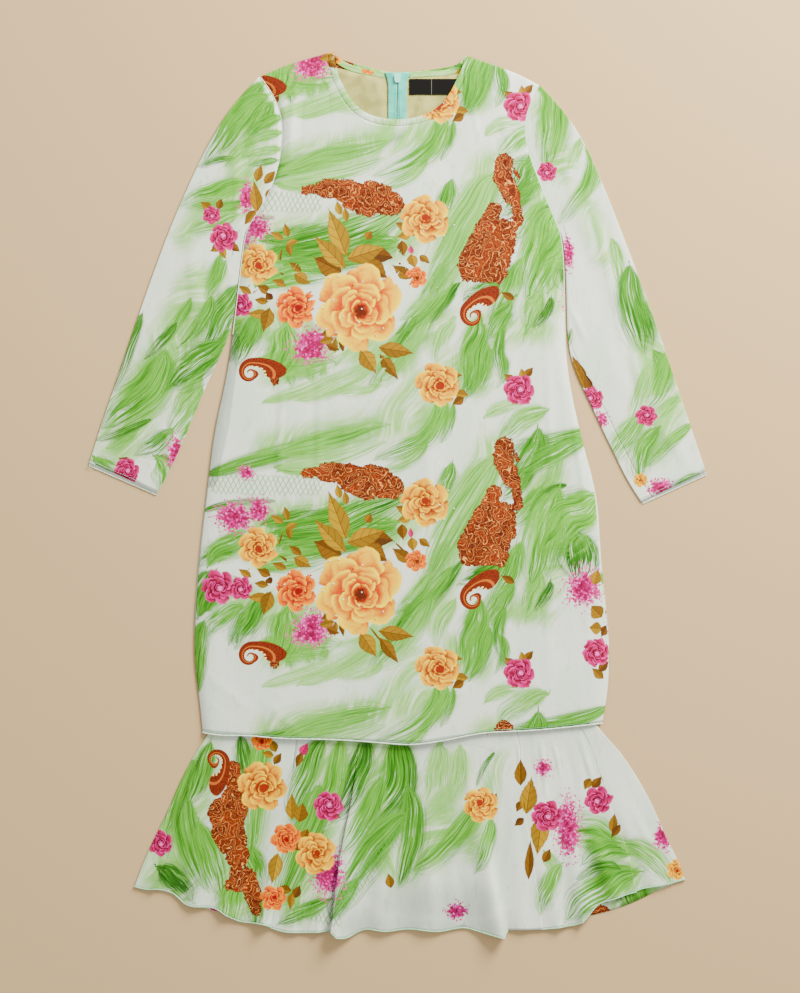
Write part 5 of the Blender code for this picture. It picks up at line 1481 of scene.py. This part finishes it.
def puckers(path, count, seed):
    """Short uneven ridges and troughs across a narrow band, where it was eased round a curve."""
    uneven = random.Random(seed)
    rows = []
    place = 3
    while place < len(path) - 4 and len(rows) < count:
        at, ahead = path[place] * 1000, path[place + 2] * 1000
        along = (ahead - at).normalized()
        rise = 0.8 * max(0.3, 1 - abs(at.x + 5) / 90) * uneven.choice((1.0, -0.7, 0.6))
        reach = uneven.uniform(6.0, 9.0)
        rows.append(
            Fold(at.x, at.y, at.x + along.y * reach, at.y - along.x * reach, uneven.uniform(1.0, 1.7), rise)
        )
        place += uneven.randint(2, 4)
    return rows


neck_binding = cloth("neck_binding_front", BINDING_PRINT, 4)
neck_edge = rim_path(neck_binding, (-88, 616), (96, 610))
if neck_edge[0].x > neck_edge[-1].x:
    neck_edge.reverse()
fold(neck_binding, puckers(neck_edge, 90, 3))
cloth("neck_facing_left", FACING_PRINT, 3)
cloth("neck_facing_right", FACING_PRINT, 3)

# Back lining: smooth olive cloth behind the back panels, seen inside the neck.

LINING_FOLDS = [
    Fold(-76, 584, -70, 540, 7, 0.4),
    Fold(-48, 588, -44, 530, 8, 0.5),
    Fold(-26, 590, -24, 530, 6, 0.4),
    Fold(30, 560, 40, 520, 8, 0.3),
]


def plain_cloth(name, low, high, roughness, gloss=0.2):
    """Unprinted cloth with a fine weave."""
    material, graph, shader = new_material(name, roughness)
    spot = graph.node("TexCoord").outputs["Object"]
    graph.put(
        shader["Base Color"], graph.mix(graph.smooth(graph.noise(spot, 70.0, 3.0), 0.35, 0.65), low, high)
    )
    graph.put(shader["Normal"], weave_normal(graph, spot, 0.3))
    shader["Specular IOR Level"].default_value = gloss
    return material


OLIVE = plain_cloth("olive_lining", colour(160, 158, 112), colour(176, 174, 128), 0.6)
linings = []
for node in ("lining_back_left", "lining_back_right"):
    lining = one_side(node)
    apply_modifier(lining, "SUBSURF", levels=3, render_levels=3)
    fold(lining, LINING_FOLDS)
    lining.data.materials.append(OLIVE)
    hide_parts(node)
    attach(lining, "root")
    linings.append(lining)

# Zip: an invisible zip seen from inside, two turquoise tapes with a nylon coil between them.
# The enamelled slider is at the top; its pull hangs through to the back.

TAPE = plain_cloth("zip_tape", colour(104, 184, 168), colour(126, 200, 184), 0.6)
ENAMEL = plain_cloth("zip_enamel", colour(160, 214, 202), colour(172, 222, 210), 0.35, 0.5)
tapes = []
for node in ("zip_tape_left", "zip_tape_right"):
    tape = one_side(node)
    apply_modifier(tape, "SUBSURF", levels=2, render_levels=2)
    tape.data.materials.append(TAPE)
    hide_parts(node)
    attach(tape, "root")
    tapes.append(tape)
for node in ("zip_slider", "zip_pull"):
    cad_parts[node].data.materials[0] = ENAMEL

NYLON = plain_cloth("zip_nylon", colour(120, 196, 180), colour(150, 214, 200), 0.4, 0.5)
COIL_TURNS = 130
COIL_PITCH = 0.00125
coils = []
cords = []
for name, side, tape in (("left", -1, tapes[0]), ("right", 1, tapes[1])):
    middle = side * 0.0011
    at = np.abs(positions(tape.data)[:, :2] - (side * 0.0012, 0.54)).sum(axis=1).argmin()
    level = float(positions(tape.data)[at, 2]) + 0.0003
    path = []
    for step in range(COIL_TURNS * 8):
        angle = side * step * math.pi / 4
        path.append(Vector((
            middle + 0.0007 * math.cos(angle),
            0.414 + COIL_PITCH * step / 8,
            level + 0.00035 * math.sin(angle),
        )))
    coils.append(tube("zip_coil_" + name, path, 0.00022, NYLON, sides=1))
    edge = [Vector((side * 0.0032, 0.414 + 0.0035 * step, level + 0.0001)) for step in range(48)]
    cords.append(tube("zip_stitching_" + name, edge, 0.0003, NYLON, uneven=0.2, sides=1))
    trims["zip_tape_" + name] = [coils[-1], cords[-1]]

# Label: a bare black woven strip, held by the neck seam and lying on the lining.



def label_cloth():
    """Close black weave with a fine pale line across it."""
    material, graph, shader = new_material("label", 0.8)
    spot = graph.node("TexCoord").outputs["Object"]
    x, y, _ = graph.parts(spot)
    rib = graph.math("SINE", graph.math("MULTIPLY", y, 9000.0))
    woven = graph.mix(graph.smooth(rib, -0.5, 0.5), colour(26, 25, 23), colour(36, 35, 32))
    line = graph.smooth(graph.math("ABSOLUTE", graph.math("SUBTRACT", x, 0.0476)), 0.00015, 0.00035, 0.8, 0.0)
    graph.put(shader["Base Color"], graph.mix(line, woven, colour(150, 148, 140)))
    graph.put(shader["Normal"], weave_normal(graph, spot, 0.3))
    shader["Specular IOR Level"].default_value = 0.1
    return material


BLACK = label_cloth()
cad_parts["neck_label"].data.materials[0] = BLACK

# Upper skirt: two plain panels and a waistband, all inside the tunic.

cloth("skirt_back", BODY_PRINT, 2)
cloth("skirt_front", BODY_PRINT, 2)
cloth("skirt_waistband_back", BODY_PRINT, 4)
cloth("skirt_waistband_front", BODY_PRINT, 4)

# Flounce: gores of the same chiffon, flared, lapped at their seams and standing in soft folds at the hem.

FLOUNCE_PRINT = laid_out(Print(
    flowers=[
        Flower(-190, -407, 35, 2, 15),
        Flower(-332, -487, 18, 3, 40),
        Flower(-97, -435, 21, 3, 130),
        Flower(-115, -501, 29, 2, 70),
        Flower(-156, -480, 21, 1, 20),
        Flower(117, -433, 25, 2, 200),
        Flower(209, -449, 22, 3, 60),
        Flower(281, -427, 20, 3, 310),
        Flower(391, -524, 15, 2, 0),
        Flower(-190, -343, 15, 1, 0),
        Flower(-174, -563, 18, 1, 90),
    ],
    leaves=[
        Leaf(-148, -416, -148, -455, 17, 0.35),
        Leaf(-132, -430, -138, -458, 21, 0.5),
        Leaf(-125, -466, -135, -489, 21, 0.55),
        Leaf(-150, -480, -136, -497, 13, 0.8),
        Leaf(-176, -545, -167, -500, 21, 0.3),
        Leaf(-170, -550, -148, -553, 13, 0.55),
        Leaf(-136, -545, -145, -564, 13, 0.7),
        Leaf(-150, -581, -148, -556, 11, 0.4),
        Leaf(-178, -340, -170, -360, 13, 0.5),
        Leaf(-190, -360, -173, -365, 11, 0.4),
        Leaf(-162, -360, -173, -377, 11, 0.6),
        Leaf(-125, -346, -136, -365, 13, 0.95),
        Leaf(-142, -382, -134, -360, 11, 0.6),
        Leaf(172, -368, 172, -407, 18, 0.55),
        Leaf(188, -393, 180, -447, 25, 0.35),
        Leaf(166, -444, 174, -427, 11, 0.6),
        Leaf(163, -463, 177, -452, 11, 0.75),
        Leaf(195, -505, 202, -447, 27, 0.3),
        Leaf(214, -494, 204, -514, 13, 0.6),
        Leaf(186, -480, 183, -539, 13, 0.6),
        Leaf(261, -413, 270, -396, 13, 0.5),
        Leaf(286, -393, 272, -410, 13, 0.65),
        Leaf(304, -444, 300, -472, 13, 0.5),
        Leaf(298, -480, 312, -461, 11, 0.7),
        Leaf(139, -416, 130, -438, 13, 0.6),
        Leaf(-89, -424, -106, -427, 11, 0.5),
        Leaf(-80, -452, -94, -441, 11, 0.7),
        Leaf(-106, -480, -111, -491, 11, 0.6),
        Leaf(-13, -528, -9, -550, 13, 0.5),
        Leaf(379, -514, 390, -531, 11, 0.5),
    ],
    clusters=[
        Cluster(-97, -529, 24, 36),
        Cluster(239, -465, 20, 46),
        Cluster(372, -479, 15, 20),
        Cluster(83, -582, 17, 13),
        Cluster(205, -382, 13, 14),
    ],
    whirls=[
        Whirl(-255, -371, 32, -88),
    ],
    strokes=[
        Stroke(-286, -374, -307, -421, -324, -472, 14, 0.48),
        Stroke(-262, -350, -275, -392, -290, -430, 16, 0.6),
        Stroke(-296, -424, -292, -486, -268, -547, 20, 0.55),
        Stroke(-276, -463, -262, -508, -246, -556, 22, 0.42),
        Stroke(-332, -522, -310, -539, -289, -564, 18, 0.92),
        Stroke(-219, -339, -211, -378, -201, -416, 14, 0.8),
        Stroke(-190, -340, -197, -413, -206, -500, 18, 0.42),
        Stroke(-204, -494, -198, -519, -190, -545, 16, 0.5),
        Stroke(-232, -539, -233, -570, -237, -601, 18, 0.42),
        Stroke(-204, -553, -198, -578, -201, -601, 16, 0.5),
        Stroke(-106, -343, -131, -393, -148, -452, 18, 0.6),
        Stroke(-80, -346, -94, -413, -125, -469, 18, 0.4),
        Stroke(-111, -413, -134, -497, -170, -570, 28, 0.5),
        Stroke(-97, -567, -134, -584, -164, -599, 12, 0.6),
        Stroke(-44, -344, -58, -393, -89, -452, 20, 0.85),
        Stroke(-2, -344, -6, -402, -41, -461, 24, 0.68),
        Stroke(8, -349, 18, -399, 1, -449, 12, 0.85),
        Stroke(16, -413, 22, -472, 4, -542, 20, 0.62),
        Stroke(6, -449, -36, -497, -83, -578, 24, 0.55),
        Stroke(-22, -399, -47, -455, -75, -497, 18, 0.45),
        Stroke(-58, -539, -78, -567, -92, -592, 12, 0.7),
        Stroke(115, -427, 76, -483, 23, -524, 18, 0.45),
        Stroke(131, -455, 125, -491, 110, -525, 12, 0.42),
        Stroke(136, -360, 120, -382, 111, -407, 4, 0.8),
        Stroke(59, -350, 54, -399, 43, -427, 18, 0.18),
        Stroke(88, -354, 85, -392, 74, -427, 14, 0.14),
        Stroke(300, -491, 264, -472, 236, -486, 24, 0.5),
        Stroke(328, -500, 292, -494, 261, -514, 18, 0.55),
        Stroke(331, -528, 286, -547, 239, -592, 26, 0.5),
        Stroke(309, -522, 284, -519, 253, -536, 8, 0.8),
        Stroke(227, -519, 211, -545, 200, -584, 14, 0.35),
        Stroke(317, -491, 354, -503, 382, -542, 16, 0.32),
        Stroke(206, -500, 216, -514, 227, -528, 10, 0.3),
    ],
    batik=[
        Patch(-230, -382, -226, -427, 11),
        Patch(-226, -427, -240, -469, 21),
        Patch(-237, -469, -223, -505, 17),
        Patch(-243, -444, -232, -483, 22),
        Patch(-220, -497, -229, -539, 8),
        Patch(-234, -545, -204, -550, 8),
        Patch(-212, -533, -201, -561, 13),
        Patch(-204, -559, -198, -581, 8),
        Patch(124, -328, 141, -318, 7),
        Patch(135, -326, 144, -323, 6),
    ],
    net=[
        Patch(-4, -476, -74, -567, 13),
        Patch(-136, -580, -89, -590, 14),
    ],
    washes=[
        Patch(-290, -371, -318, -539, 42),
        Patch(-199, -371, -227, -567, 31),
        Patch(-95, -357, -137, -567, 36),
        Patch(-25, -357, 4, -497, 48),
        Patch(74, -385, 46, -497, 28),
        Patch(283, -483, 325, -539, 28),
        Patch(140, -371, 102, -497, 16),
    ],
    repeats=False,
))
FLOUNCE_SHEER = [
    Patch(-60, -604, 140, -608, 22),
    Patch(0, -570, 110, -574, 26),
]
FLOUNCE_FOLDS = [
    Fold(169, -346, 172, -396, 5, 1.3),
    Fold(201, -346, 208, -420, 6, 1.6),
    Fold(218, -346, 228, -392, 5, 1.2),
    Fold(257, -344, 276, -410, 7, 1.4),
    Fold(186, -350, 190, -430, 7, -0.6),
    Fold(236, -350, 250, -420, 8, -0.6),
    Fold(-230, -350, -262, -430, 8, 1.2),
    Fold(-206, -352, -226, -440, 8, -0.5),
    Fold(-60, -360, -66, -440, 8, 1.0),
    Fold(-30, -362, -30, -450, 9, -0.5),
    Fold(20, -362, 26, -460, 10, 1.1),
    Fold(60, -360, 72, -440, 8, -0.5),
    Fold(92, -354, 106, -450, 9, 1.0),
    Fold(-300, -470, -344, -556, 13, 1.6),
    Fold(-262, -480, -292, -570, 12, -1.0),
    Fold(-236, -470, -252, -580, 12, 1.4),
    Fold(-20, -500, -34, -612, 15, 1.5),
    Fold(44, -500, 56, -612, 16, 1.5),
    Fold(84, -520, 98, -616, 12, -0.9),
    Fold(190, -480, 214, -590, 15, 1.6),
    Fold(262, -460, 306, -560, 15, 1.6),
    Fold(300, -450, 348, -546, 12, -0.9),
    Fold(330, -440, 372, -530, 10, 1.2),
]
gores = [cloth(node, BODY_PRINT, 3, under=True) for node in ("flounce_back_1", "flounce_back_2")]
for node in ("flounce_side_left", "flounce_side_right", "flounce_front_1", "flounce_front_2",
             "flounce_front_3", "flounce_front_4"):
    gores.append(cloth(node, FLOUNCE_PRINT, 3, FLOUNCE_FOLDS, sheer=FLOUNCE_SHEER, softness=34.0))

HEM_CORNERS = {
    "flounce_side_left": ((-337, -551), (-368, -548)),
    "flounce_front_1": ((-340, -551), (-176, -604)),
    "flounce_front_2": ((-181, -604), (-90, -609)),
    "flounce_front_3": ((-93, -609), (154, -609)),
    "flounce_front_4": ((200, -608), (335, -555)),
    "flounce_side_right": ((331, -555), (402, -538)),
}
for gore in gores:
    node = gore.name.replace("_cloth", "")
    if node in HEM_CORNERS:
        hem = rim_path(gore, *HEM_CORNERS[node])
        trims[node] = [tube(node + "_hem_roll", hem, 0.0008, MINT_THREAD, uneven=0.3)]

# Thickness: every printed sheet, lining and zip tape is given the thickness of its cloth.

for obj in cloths + linings + tapes:
    thicken(obj)
    node = obj.name.replace("_cloth", "")

# Studio: a plain pale surface, one large soft light low on the right, and the camera straight above.

bpy.ops.object.select_all(action="DESELECT")
bpy.ops.mesh.primitive_plane_add(size=8.0, location=(0.0, 0.0, -0.0004))
floor = bpy.context.active_object
floor.name = "floor"
FLOOR, graph, shader = new_material("floor", 0.9)
shader["Base Color"].default_value = colour(196, 176, 146)
floor.data.materials.append(FLOOR)

key_data = bpy.data.lights.new("key", "AREA")
key_data.size = 1.4
key_data.energy = 380.0
key_data.color = (1.0, 0.96, 0.88)
key = bpy.data.objects.new("key", key_data)
key.location = (1.6, 2.2, 1.45)
key.rotation_euler = (Vector((0.0, 0.0, 0.0)) - key.location).to_track_quat("-Z", "Y").to_euler()
bpy.context.collection.objects.link(key)

world = bpy.data.worlds.new("studio")
world.use_nodes = True
world.node_tree.nodes["Background"].inputs["Color"].default_value = (1.0, 0.98, 0.94, 1.0)
world.node_tree.nodes["Background"].inputs["Strength"].default_value = 0.98
bpy.context.scene.world = world

camera_data = bpy.data.cameras.new("camera")
camera_data.lens = 85.0
camera_data.sensor_width = 36.0
camera = bpy.data.objects.new("camera", camera_data)
camera.location = (0.0035, -0.0021, 3.2825)
bpy.context.collection.objects.link(camera)
bpy.context.scene.camera = camera
